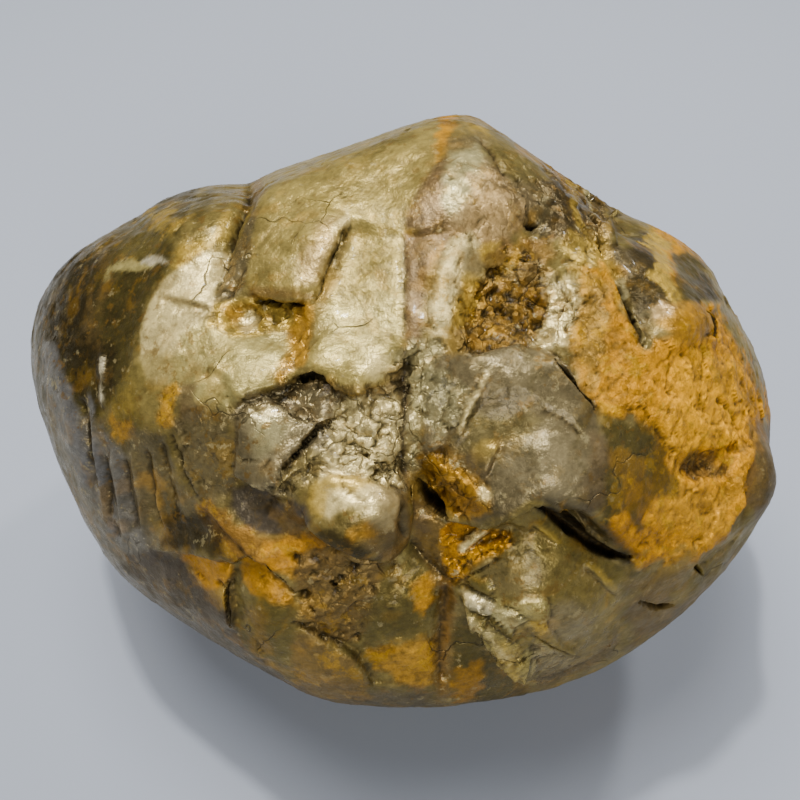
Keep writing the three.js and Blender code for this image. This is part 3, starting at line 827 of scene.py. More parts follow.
    "top orange": Patch(Tint.OCHRE, [(8, 57), (11, 56.6), (10, 52), (8.6, 48), (7, 47.4), (7.4, 51)], 0.8,
        0.8, 1.2),
    "top yellow": Patch(Tint.YELLOW, [(13, 56), (17, 55), (17, 51.6), (14, 53)], 0.7, 0.8, 1.0),
    "bulge shade": Patch(Tint.DULL_GREY, [(9, 52), (16, 53.4), (18, 51), (15, 49), (10, 48.4)], 0.7, 1.0,
        0.8),
    # Painted highlight: the pale grey-white gloss on the bulge
    "bulge": Patch(Tint.PALE_GREY, [(10, 49), (15, 50), (17.6, 47), (16.6, 42), (14, 38), (11.6, 34.6),
        (9, 38), (8.4, 43)], 0.95, 1.0, 0.8, gloss=0.9),
    "pink hump": Patch(Tint.PINK, [(13, 42), (17, 45), (22, 44), (27, 42), (27, 37), (24, 33), (20, 30),
        (14, 30), (11, 34)], 0.8, 1.4, 2.0, grain=0.3, gloss=0.75, broken=0.3),
    "hump mottle": Patch(Tint.DULL_GREY, [(20, 45), (28, 46), (33, 40), (32, 32), (26, 32), (24, 38)], 0.8,
        1.2, 2.4, gloss=0.85, broken=0.4),
    "hump olive": Patch(Tint.OLIVE, [(17, 50), (22, 50), (30, 48), (36, 44), (30, 44), (22, 44)], 0.8, 1.4,
        1.6),
    "dark shoulder": Patch(Tint.BROWN, [(28, 43), (31, 49), (35, 46), (40, 41), (42, 36), (39, 31), (34, 30),
        (30, 34), (29, 38)], 0.8, 1.4, 1.8, gloss=0.95, broken=0.8),
    "dark shoulder core": Patch(Tint.DARK, [(29, 42), (32, 43), (36, 38), (35, 33), (31, 33), (26, 37)], 0.7,
        1.2, 1.2, gloss=0.95),
    "rim orange": Patch(Tint.AMBER, [(23, 51), (28, 50), (34, 45), (37, 40), (34, 42), (29, 47), (24, 49.6)],
        0.6, 0.7, 1.0),
    "crease yellow": Patch(Tint.YELLOW, [(32, 31), (36, 34), (41, 32), (44, 26), (41, 22), (36, 24),
        (33, 26)], 0.6, 1.4, 1.6, broken=0.5, gloss=0.9),
    "mottled orange": Patch(Tint.RUST, [(12, 32), (20, 31), (30, 33), (32, 27), (24, 25.6), (16, 26),
        (11, 28)], 0.55, 1.2, 2.0, grain=0.6, gloss=0.7),
    "granular hollow": Patch(Tint.WARM_BROWN, [(9, 20), (14, 24), (19, 28), (25, 27.6), (31, 26), (33, 21),
        (31.6, 17), (29, 13), (26, 9.6), (20, 9), (13, 8), (10, 11), (11, 15)], 0.85, 1.8, 3.4, gloss=0.9,
        grain=0.8, broken=1.0, pits=1.0),
    "hollow dark": Patch(Tint.DARK, [(18, 20), (21, 25), (27, 24.6), (29, 20), (27, 15), (22, 13), (18, 15)],
        0.5, 1.6, 3.0, gloss=0.9, grain=0.6, broken=1.0, pits=1.0),
    "hollow amber": Patch(Tint.AMBER, [(12, 21), (18, 24), (30, 24), (28, 14), (20, 10), (13, 12)], 0.4, 0.8,
        3.4, grain=0.8, gloss=0.9, broken=0.9),
    # Pale ridge colour, with a painted highlight along its crest
    "white ridge": Patch(Tint.CREAM, [(13.6, 33), (10.6, 31.6), (8.4, 28), (7, 24), (6.2, 19), (6.4, 13),
        (9.6, 12), (10.6, 18), (12.4, 23), (14, 28), (16, 31)], 0.95, 0.9, 0.7, gloss=0.45, grain=0.6,
        broken=0.2),
    "ridge crust": Patch(Tint.YELLOW, [(16, 31), (14, 28), (12.4, 22), (10, 14), (13, 15), (14, 21),
        (17, 27), (19, 31)], 0.7, 0.8, 1.6, grain=0.4),
    "ridge lump": Patch(Tint.GREY, [(12, 30), (15, 30), (17, 27), (15.6, 24.6), (12.8, 26)], 0.7, 0.7, 0.6),
    "seam ground": Patch(Tint.PALE_GREY, [(-1, 9), (2, 12), (8, 12.6), (10, 10), (6, 4), (5, -6), (5, -12),
        (2, -14), (0.6, -6), (0.6, 4)], 0.8, 0.9, 1.4, gloss=0.9, broken=0.7),
    "ochre face": Patch(Tint.OCHRE, [(36, 28), (40, 28), (43, 23), (46, 15), (49, 11), (53, 13), (54, 18),
        (62, 20), (66, 16), (69, 8), (74, -2), (72, -10), (70, -20), (66, -27), (61, -31), (57, -30),
        (54, -33), (49, -33), (45, -30), (42, -22), (44, -16), (50, -14), (51, -8), (48, -4), (42, -4),
        (38, 1), (35, 7), (34, 12), (36, 18)], 0.97, 1.0, 1.8, gloss=0.45, grain=0.9, broken=0.25),
    "ochre bright": Patch(Tint.GOLD, [(54, 8), (58, 10), (66, 8), (70, 0), (67, -8), (62, -12), (56, -14),
        (53, -6)], 0.95, 2.0, 2.0, gloss=0.4, grain=0.9, broken=0.2),
    "ochre low": Patch(Tint.AMBER, [(54, -16), (62, -18), (67, -18), (66, -26), (60, -30), (54, -26),
        (50, -20)], 0.6, 2.0, 2.0, gloss=0.45, grain=0.9),
    "ochre mid": Patch(Tint.RUST, [(38, 22), (43, 20), (46, 12), (44, 4), (38, 4), (35, 12)], 0.35, 2.0, 2.2,
        grain=0.9),
    "ochre dark": Patch(Tint.BROWN, [(58, -11), (62, -10), (66, -13), (66, -16), (60, -16.6), (57, -14)],
        0.7, 0.7, 1.4, gloss=0.7, grain=0.7, broken=0.6),
    # Painted sheen: a broad bright highlight over the crumpled ridge
    "sheen ridge": Patch(Tint.CREAM, [(30, 25.6), (34, 24), (36, 20), (34.6, 15), (33, 11), (29, 9.4),
        (26, 10), (27.6, 13), (30, 17), (29, 21)], 0.85, 0.7, 1.2, gloss=1.0, broken=0.9),
    "ochre olive": Patch(Tint.DULL_KHAKI, [(36, 27), (40, 26), (42, 20), (40, 10), (38, 4), (35, 9),
        (36, 16)], 0.6, 1.4, 2.6, gloss=0.8, broken=0.5, grain=0.4),
    "dark ground": Patch(Tint.DARK_OLIVE, [(40, -2), (46, -4), (52, -7), (54, -13), (55, -18), (50, -20),
        (48, -30), (42, -28), (38, -22), (39, -12)], 0.85, 0.9, 1.6, gloss=0.85, grain=0.3),
    "ground specks": Patch(Tint.OCHRE, [(42, -10), (46, -8), (50, -14), (50, -24), (45, -20), (42, -16)],
        0.2, 0.8, 2.6, grain=0.8, gloss=0.5),
    "ground gold": Patch(Tint.OCHRE, [(42, -23), (45, -22), (48, -27), (49, -31), (45, -30), (42, -26)], 0.9,
        0.7, 0.9, gloss=0.5, grain=0.9),
    "round ochre boss": Patch(Tint.AMBER, [(50, 16), (54, 19.6), (60, 19.6), (62.6, 16), (60, 12), (54, 11)],
        0.7, 0.8, 0.6, gloss=0.8, grain=0.2),
    "lobe dark": Patch(Tint.DARK, [(42, 36), (46, 36), (50, 34), (51.6, 28), (52, 23.6), (55, 20), (51, 17),
        (49.4, 12), (47, 17), (44.6, 24), (42, 31)], 0.95, 0.8, 0.9, gloss=0.65),
    "lobe olive": Patch(Tint.OLIVE, [(43, 35.5), (48, 35.6), (48.6, 32.6), (46, 31), (43, 32)], 0.8, 0.9,
        1.0, gloss=0.65),
    "lobe brown": Patch(Tint.BROWN, [(47, 33.5), (50.6, 33), (51.6, 27), (50, 24), (46, 26)], 0.8, 0.8, 1.0,
        gloss=0.65),
    "lobe cream": Patch(Tint.YELLOW, [(49.5, 34.5), (55, 33), (57.4, 30.4), (54.5, 27.5), (56, 21),
        (54.5, 18.6), (53, 21.5), (51, 24), (50, 25.6), (51.4, 27.4), (50, 30), (48.6, 32)], 0.95, 0.5, 1.1,
        gloss=0.65, grain=0.5),
    "lobe orange": Patch(Tint.OCHRE, [(50, 35.4), (57, 33), (62, 27), (58, 29.4), (55.6, 27), (56.4, 22),
        (54.8, 24), (53.6, 28), (54, 31.4)], 0.85, 0.5, 1.2, gloss=0.65, grain=0.3),
    "lobe grey": Patch(Tint.DARK_OLIVE, [(54.4, 29), (57, 29.6), (60.6, 27), (64, 20.4), (63, 19), (60, 19),
        (56.5, 19.6), (55.4, 23)], 0.95, 0.6, 0.9, gloss=0.65),
    "lobe shade": Patch(Tint.DARK, [(58, 24), (61, 25), (63.6, 20), (59, 19.4)], 0.7, 0.8, 1.2, gloss=0.65),
    "lobe facet": Patch(Tint.PINK, [(50.6, 19), (52.6, 19.8), (54.6, 18), (53, 16), (50.6, 16.4)], 0.8, 0.4,
        0.5, gloss=0.95),
    "slot shade": Patch(Tint.DARK, [(44, 22), (46, 19), (48.6, 11.8), (49.4, 11.4), (47.2, 10.8), (45, 16)],
        0.9, 0.4, 0.3),
    # Painted highlight on a small chip by the slot
    "slot chip highlight": Patch(Tint.PALE_GREY, [(43.6, 25), (44.8, 25), (46, 21.4), (45, 20.6)], 0.8, 0.3, 0.3,
        gloss=1.0),
    "boss": Patch(Tint.DULL_GREY, [(8, 10), (16, 9.4), (22, 10.6), (31, 10), (35, 5), (39, -1.6), (41, -8),
        (40.6, -18), (39, -25), (33, -21), (29, -19.6), (26, -20), (22, -22.4), (16, -23.6), (10, -22),
        (5, -14), (4, -8), (5, 2)], 1.0, 0.8, 0.7, gloss=0.85),
    # Painted sheen: the broad pale highlight on the boss's dome
    "boss sheen": Patch(Tint.GREY, [(26, -4), (34, -6), (38, -10), (38, -18), (30, -19), (20, -17),
        (19, -10)], 0.85, 2.6, 2.0, gloss=0.85),
    "boss upper light": Patch(Tint.GREY, [(18, 9), (26, 10), (32, 7), (31, 2), (22, 2), (17, 4)], 0.4, 1.6,
        1.2, gloss=0.9),
    "boss olive": Patch(Tint.OLIVE, [(14, -3), (24, -2), (29, -4), (26, -7), (18, -8), (12, -10)], 0.55, 1.6,
        1.6),
    "boss yellow": Patch(Tint.YELLOW, [(14.6, -9), (19, -7.4), (20, -10), (17.6, -12.6), (15, -12)], 0.45,
        0.7, 0.7),
    "boss brown": Patch(Tint.BROWN, [(8, -16), (14, -11), (19, -10.6), (17.4, -15.6), (14, -17)], 0.5, 1.0,
        1.2),
    "boss left": Patch(Tint.PALE_GREY, [(5, 6), (10, 6), (13, 2), (11, -5), (7, -8), (4.6, -2)], 0.6, 1.0,
        1.2, broken=0.6, gloss=0.95),
    "boss purple": Patch(Tint.PURPLE_BROWN, [(38, -6), (41, -10), (41, -20), (38, -24), (36, -18)], 0.5, 1.4,
        1.4),
    # Painted shade over the lip that overhangs the mouth slot
    "shade under lip": Patch(Tint.DARK, [(28, -18.6), (33, -19), (38, -22), (44, -26.6), (48, -30.6), (46, -33),
        (40, -31), (34, -27.6), (29, -23.4)], 0.7, 1.4, 0.8, gloss=0.6),
    "broken ground": Patch(Tint.GREY, [(-33, -2), (-30, 1), (-24, 2.6), (-18, 4.4), (-14, 3), (-10, 1),
        (-3, 2.4), (1, 6), (1.6, -4), (1, -12), (2, -18), (-2, -19), (-10, -16), (-17, -16), (-22, -19),
        (-27, -20), (-33, -15)], 1.0, 0.8, 0.8, gloss=0.95, broken=0.6),
    "grey facet": Patch(Tint.GREY, [(-33.6, -2.8), (-32, -0.8), (-28.8, 0.8), (-26, -0.6), (-22.6, -3),
        (-19.4, -5.4), (-20.4, -10), (-23, -12), (-25.2, -17), (-30.8, -16), (-33.6, -16), (-32.8, -11.6)],
        0.95, 0.4, 0.3, gloss=0.97, broken=0.05),
    # Painted sheen: the lighter upper part of the grey facet
    "grey facet sheen": Patch(Tint.PALE_GREY, [(-29, -2), (-25, -3), (-22.6, -5.6), (-23.6, -10),
        (-28, -11)], 0.7, 2.4, 0.8, gloss=0.97),
    "grey facet shade": Patch(Tint.DULL_GREY, [(-33.6, -4), (-31, -6), (-29, -12), (-26, -15), (-26, -17),
        (-33.6, -16)], 0.85, 1.6, 0.8, gloss=0.97),
    "upper facet": Patch(Tint.DULL_GREY, [(-27, 1.4), (-20, 2.4), (-15, 3.6), (-12.6, 1), (-14, -3),
        (-18, -4), (-23, -1.4)], 0.8, 0.7, 0.6, gloss=0.97, broken=0.3),
    "lower facet": Patch(Tint.DULL_KHAKI, [(-22, -11.6), (-18, -9.6), (-14.4, -12), (-15.6, -15.6),
        (-20, -19), (-25, -18)], 0.7, 0.7, 0.6, gloss=0.97, broken=0.5),
    "crumpled cream": Patch(Tint.CREAM, [(-13, -1), (-11, 1), (-6, 0.4), (-1, 1.6), (0.4, -4), (0.2, -10),
        (1, -17), (-3, -17), (-8, -15.6), (-13, -13.6), (-17, -11), (-14, -6)], 0.8, 1.0, 1.2, gloss=0.9,
        broken=1.0),
    "rim brown": Patch(Tint.WARM_BROWN, [(-24, 3.6), (-17, 6), (-12, 3.6), (-4, 3.6), (0, 8), (1, 3),
        (-4, 0.8), (-11, 0.4), (-17, 3.4), (-22, 1.8)], 0.6, 0.6, 0.9, broken=0.8),
    "cream lump": Patch(Tint.CREAM, [(-16.4, -15), (-13.6, -14.4), (-9, -15), (-5, -17), (-2, -19.4),
        (-3, -25), (-6, -24), (-10, -21), (-13.4, -23.6), (-17, -20)], 0.95, 0.8, 0.8, gloss=0.85),
    "lump tip": Patch(Tint.CREAM, [(-14.4, -14.8), (-12.8, -11.6), (-10.8, -15)], 0.9, 0.3, 0.2, gloss=0.9),
    "lump yellow": Patch(Tint.YELLOW, [(-17, -16), (-13, -15), (-6, -16.4), (-9, -18), (-14, -18),
        (-15, -23), (-18, -20)], 0.75, 0.8, 0.9),
    "lump pink": Patch(Tint.PURPLE_BROWN, [(-7, -17.4), (-4, -18), (0.4, -19), (1.4, -24), (-1, -30),
        (-5, -30.6), (-8, -28), (-6.6, -24), (-6, -20)], 0.65, 1.2, 1.2, gloss=0.85),
    "lump ochre": Patch(Tint.OCHRE, [(-11, -25), (-7.6, -24), (-6.6, -26), (-9.6, -27.4)], 0.5, 0.6, 0.9,
        gloss=0.8),
    "lump shade": Patch(Tint.DARK, [(-15.6, -25), (-13, -24.6), (-11.4, -26), (-8.6, -27.6), (-5, -30.4),
        (-6, -31.6), (-11, -29.6), (-15, -27.4)], 0.85, 0.6, 0.8, gloss=0.85),
    "lump lens": Patch(Tint.DULL_GREY, [(-2.2, -19.6), (-0.8, -20.4), (-0.4, -26), (-1.4, -27.4),
        (-2.4, -24)], 0.8, 0.4, 0.4, gloss=0.9),
    # Painted highlight: the lit strip of ground under the cream lump, in two parts
    "under lump": Patch(Tint.CREAM, [(-15.6, -28.4), (-11, -30.2), (-5.4, -32.6), (-6, -34), (-10, -32.6),
        (-15, -30.4)], 0.8, 0.4, 0.6, gloss=0.95),
    "under lump right": Patch(Tint.PALE, [(-2.4, -32.8), (1, -31), (1.4, -32.4), (-1.6, -34.2)], 0.8, 0.3,
        0.3, gloss=0.95),
    "left ground": Patch(Tint.DULL_GREY, [(-43, -2), (-38, -3), (-33, -2), (-32.6, -10), (-33, -16),
        (-37, -21), (-42, -20), (-45, -12)], 0.75, 1.2, 1.8, grain=0.2, gloss=0.9, broken=0.3),
    "left streaks": Patch(Tint.DULL_GREY, [(-54, -6), (-47, -7), (-44, -14), (-40, -22), (-36, -28),
        (-44, -33), (-50, -30), (-55, -18)], 0.8, 1.2, 2.2, gloss=0.95),
    "left gold": Patch(Tint.AMBER, [(-51, -16), (-49.6, -15), (-47, -24), (-45, -31), (-47, -30),
        (-50.4, -22)], 0.4, 0.8, 1.8, gloss=0.8, grain=0.3),
    "dark flat": Patch(Tint.SLATE, [(-34, -18), (-30, -17.4), (-25, -20.4), (-19, -21), (-17.4, -24),
        (-21, -27), (-28, -27), (-33, -24)], 0.9, 0.6, 0.7, gloss=0.85),
    "flat rust": Patch(Tint.WARM_BROWN, [(-25, -24), (-22.4, -20.4), (-19, -25), (-22, -27.4)], 0.7, 0.5,
        0.9, grain=0.4, gloss=0.8),
    "rust band": Patch(Tint.RUST, [(-40, -19), (-36, -22), (-32, -24.6), (-26, -27), (-18, -27), (-12, -29),
        (-10, -31), (-14, -35), (-20, -33), (-26, -34), (-30, -31.6), (-34, -32.6), (-38, -28), (-41, -23)],
        0.8, 0.8, 1.3, gloss=0.6, grain=0.7, pits=0.3),
    "band gold": Patch(Tint.OCHRE, [(-28, -28), (-18, -28), (-14, -31), (-20, -36), (-26, -33)], 0.6, 0.9,
        1.2, gloss=0.6, grain=0.6),
    "dark triangle": Patch(Tint.DARK, [(-46, -22), (-40, -23), (-36, -28), (-34, -31.6), (-40, -31),
        (-48, -29)], 0.85, 0.9, 0.9, gloss=0.85),
    "grey side": Patch(Tint.SLATE, [(-50, -30), (-46, -31), (-40, -35), (-37, -40), (-32, -46), (-26, -52),
        (-18, -58), (-14, -64), (-30, -60), (-48, -50), (-60, -38), (-56, -32)], 0.95, 0.9, 0.9, gloss=0.9),
    "left plane": Patch(Tint.OCHRE, [(-46, -30.6), (-40, -31.8), (-34.4, -32.6), (-33.6, -35), (-36, -37.6),
        (-39, -38), (-42, -34)], 0.75, 0.6, 0.6, gloss=0.75, grain=0.2),
    "wedge": Patch(Tint.OLIVE, [(-33.6, -34), (-31, -31.6), (-27.6, -32.4), (-24, -36), (-21, -40),
        (-20.6, -46), (-22, -52), (-27, -52), (-31, -49), (-33, -44)], 0.9, 0.7, 0.6, gloss=0.85),
    "wedge gold": Patch(Tint.OCHRE, [(-32, -32), (-28, -32.4), (-24, -36), (-20.6, -41), (-23, -41),
        (-28, -38), (-32, -37)], 0.7, 0.9, 1.2, grain=0.4),
    "wedge low gold": Patch(Tint.AMBER, [(-30, -40), (-27, -40), (-25, -50), (-28, -51), (-30, -46)], 0.35,
        1.0, 1.2),
    "pitted ground": Patch(Tint.WARM_BROWN, [(-21, -31), (-14, -30), (-8, -32), (0, -32), (2, -36),
        (-2, -42), (-8, -48), (-12, -49), (-20, -45), (-20.6, -38)], 0.9, 1.0, 1.2, gloss=0.85, grain=0.3,
        broken=0.4, pits=1.0),
    "olive plane": Patch(Tint.OLIVE, [(-3, -33), (3, -33), (8, -37), (8, -46), (2, -46), (-6, -49),
        (-8, -47), (-6, -41)], 0.85, 1.2, 1.2, gloss=0.85),
    "plane ochre": Patch(Tint.OCHRE, [(2, -37), (5.6, -35), (7, -40), (5, -43.6), (2.6, -42)], 0.7, 0.7, 1.2,
        grain=0.7, gloss=0.5),
    "ochre pad": Patch(Tint.AMBER, [(-7, -50), (-1, -49), (4, -46.6), (8.6, -48), (8.6, -54), (5, -57),
        (-1, -56), (-5, -54)], 0.85, 0.8, 1.2, gloss=0.45, grain=1.0),
    "lower plate": Patch(Tint.WARM_BROWN, [(-21, -46), (-15, -48), (-9, -51.6), (-6, -56), (-8, -62),
        (-18, -61), (-22, -56)], 0.85, 0.9, 1.0, gloss=0.7, grain=0.4),
    "lower dull": Patch(Tint.SLATE, [(-22, -58), (-12, -60), (-2, -57), (6, -59), (12, -62), (0, -66),
        (-16, -66)], 0.7, 1.6, 1.2),
    "vein valley": Patch(Tint.WARM_BROWN, [(2, -19), (5, -20), (9, -25), (10, -32), (10, -37), (11, -46),
        (10.6, -60), (7, -61), (7.4, -46), (7.6, -37), (3, -30)], 0.9, 0.7, 0.7, gloss=0.95),
    "valley dark": Patch(Tint.BROWN, [(2.4, -20), (5, -21.6), (7, -27), (3, -29)], 0.8, 0.7, 0.5,
        gloss=0.95),
    "rust fan": Patch(Tint.AMBER, [(3.6, -11), (8, -10), (13, -14), (18, -18), (18.4, -22), (13, -23.4),
        (9, -22), (5.6, -17)], 0.9, 0.6, 0.7, gloss=0.9, broken=0.7),
    "fan shade": Patch(Tint.RUST, [(8, -15), (14, -18), (17, -21.6), (12, -23), (8.6, -20)], 0.7, 0.7, 0.9,
        gloss=0.9, broken=0.6),
    "fan tip": Patch(Tint.CREAM, [(16, -16.6), (18.4, -18.6), (17.6, -20.4), (16, -19.6)], 0.8, 0.5, 0.3),
    "amber rays": Patch(Tint.OCHRE, [(8, -26), (10, -25), (17, -25.4), (21.6, -27.2), (22.8, -28.4),
        (21.6, -30.4), (19.2, -32.4), (16, -34), (12.4, -36.4), (10.4, -36.6), (9, -31)], 0.95, 0.4, 0.7,
        gloss=0.95, broken=0.5),
    "ray gold": Patch(Tint.GOLD, [(10.6, -34.4), (12.6, -31), (16, -29), (21, -28.4), (19, -31),
        (14.6, -33.6)], 0.7, 0.6, 0.9, gloss=0.97, broken=0.6),
    "yellow flake": Patch(Tint.CREAM, [(12, -29.8), (13, -27.6), (14.8, -26.4), (17.2, -26), (18, -26.6),
        (16, -28), (13.6, -29.4)], 0.95, 0.3, 0.2, gloss=0.95, lift=0.7),
    "lower lobe": Patch(Tint.DULL_KHAKI, [(14, -33), (22, -29), (27, -25), (30, -26), (34, -32), (40, -36),
        (44, -40), (43.6, -46), (38, -50), (30, -53), (24, -48), (18, -40), (12, -37)], 0.95, 0.8, 0.8,
        gloss=0.9),
    "lobe olive-grey": Patch(Tint.DULL_GREY, [(15, -33), (26, -28), (29, -34), (26, -39), (18, -38)], 0.5,
        1.6, 1.2),
    "lobe brown": Patch(Tint.BROWN, [(32, -32), (38, -36), (44, -40), (43, -47), (37, -51), (31, -52.6),
        (33, -48), (38, -45), (38, -39), (34, -37)], 0.75, 1.4, 1.4, gloss=0.9),
    "grey oval": Patch(Tint.GREY, [(29.6, -41), (34, -39), (38, -42), (37, -47), (32, -47.6), (29, -45)],
        0.7, 1.0, 0.6, gloss=0.95),
    "flakes": Patch(Tint.PALE, [(12, -38), (16, -38.4), (21, -40), (26, -39), (27, -44), (27, -47),
        (30, -50), (26, -54), (22, -53), (18, -48), (14.4, -42)], 0.85, 0.6, 0.7, gloss=0.93, broken=0.3),
    "flake olive": Patch(Tint.OLIVE, [(22, -45.6), (25.6, -44.8), (27.4, -48), (26.4, -50.4), (23.6, -49)],
        0.8, 0.7, 0.6, gloss=0.9),
    "flake one": Patch(Tint.OLIVE, [(13.6, -35.2), (15.6, -34.9), (17.8, -35.8), (18.8, -37.4), (18, -38.6),
        (16, -38.2), (13.8, -36.8)], 0.9, 0.3, 0.2, gloss=0.97, lift=0.8),
    # Painted highlight: a white glint on this flake
    "flake two": Patch(Tint.WHITE, [(12.2, -38.2), (14.8, -38.8), (18, -39.6), (19.2, -41), (18, -42.4),
        (16, -41.6), (13.8, -40.6)], 0.6, 0.3, 0.3, gloss=0.97, lift=0.8),
    "flake three": Patch(Tint.PALE_GREY, [(19.2, -40.8), (22, -41.2), (23.8, -42.4), (24.8, -43.2),
        (23.2, -44.4), (22, -45.6), (20, -43.6), (18.6, -42.4)], 0.8, 0.3, 0.2, gloss=0.97, lift=0.8),
    "flake four": Patch(Tint.KHAKI, [(14.4, -41.8), (16.8, -42.2), (20, -44), (21.8, -45.6), (22.8, -47.2),
        (24, -49.6), (25.6, -52), (24.8, -54.4), (23.2, -54.6), (21.2, -52.4), (18.8, -50), (17.2, -47.6),
        (15.6, -45.2)], 0.8, 0.3, 0.3, gloss=0.97, broken=0.6, lift=0.8),
    "flake four amber": Patch(Tint.YELLOW, [(19, -47), (21.6, -48.4), (23.4, -51.6), (23.6, -54.4),
        (20.6, -51)], 0.6, 0.6, 0.6, gloss=0.95),
    "flake five": Patch(Tint.PALE, [(22.2, -40.2), (24, -39), (26.4, -38.5), (28.8, -38.7), (29.4, -41),
        (29, -43), (26.6, -42.6), (24, -41.8)], 0.6, 0.4, 0.3, gloss=0.97, lift=0.8),
    "flake chip": Patch(Tint.YELLOW, [(25.6, -42.8), (28, -42.9), (29, -44.4), (28, -46.4), (27, -45.6)],
        0.95, 0.3, 0.2, gloss=0.95, lift=0.5),
    "flake foot": Patch(Tint.GREY, [(26.4, -48.4), (30, -49.6), (35, -51.4), (31, -54.2), (26.6, -54)], 0.8,
        0.6, 0.5, gloss=0.95, broken=0.5),
    "foot rim": Patch(Tint.BROWN, [(27, -54.4), (32, -53.4), (38, -51), (43, -46), (45, -49), (38, -54),
        (28, -58)], 0.7, 0.6, 0.8, gloss=0.9),
    "olive facet": Patch(Tint.DARK_OLIVE, [(10.6, -45), (14, -43), (18, -50), (23, -55), (26, -60),
        (14, -62), (10, -60)], 0.9, 0.6, 0.5, gloss=0.9),
    "facet specks": Patch(Tint.OCHRE, [(11, -54), (16, -52), (20, -56), (14, -60), (10.6, -60)], 0.4, 0.6,
        2.0, grain=0.5),
    "mouth rim": Patch(Tint.OLIVE, [(25.6, -23), (28, -22.6), (32, -26.4), (36, -29.4), (41, -32),
        (45, -33.4), (44, -37), (40, -36), (36, -32.8), (31.6, -29), (28, -27)], 0.9, 0.4, 0.4, gloss=0.9),
    # Painted shade: the black shadow inside the mouth slot
    "mouth slot shade": Patch(Tint.BLACK, [(25.8, -21), (28, -20), (30, -20.4), (32.4, -22.4), (36, -25.4),
        (39.4, -28.6), (45, -30.2), (46.2, -32.4), (42, -32.2), (39, -31), (35, -28), (31, -24.8),
        (27.4, -22.2)], 0.98, 0.5, 0.3, gloss=0.0),
    "rim gold": Patch(Tint.YELLOW, [(28, -25), (31, -27), (33, -29), (30.6, -28.6), (28, -26.6)], 0.6, 0.4,
        0.6),
    "rim yellow": Patch(Tint.YELLOW, [(37, -31.6), (40.6, -34), (43, -37.6), (40.6, -36.4), (38, -34)], 0.5,
        0.5, 0.7),
    "right rim": Patch(Tint.OLIVE, [(45, -34), (52, -35), (58, -34), (61, -31), (67, -28), (70, -22),
        (72, -12), (79, -14), (76, -26), (66, -36), (54, -46), (44, -50), (44, -42)], 0.9, 0.9, 0.9,
        gloss=0.5),
    "right rim brown": Patch(Tint.BROWN, [(46, -38), (56, -40), (66, -33), (74, -24), (78, -16), (72, -30),
        (58, -44), (46, -50)], 0.7, 1.2, 1.2, gloss=0.5),
    "right rim rust": Patch(Tint.WARM_BROWN, [(50, -34), (57, -34), (57, -38), (50, -40), (46, -37)], 0.6,
        0.9, 1.4),
    "knob": Patch(Tint.BROWN, [(70, -4), (80, -6), (80, -22), (73, -26), (69, -20), (69.6, -12)], 0.85, 1.0,
        1.4, gloss=0.5),
}

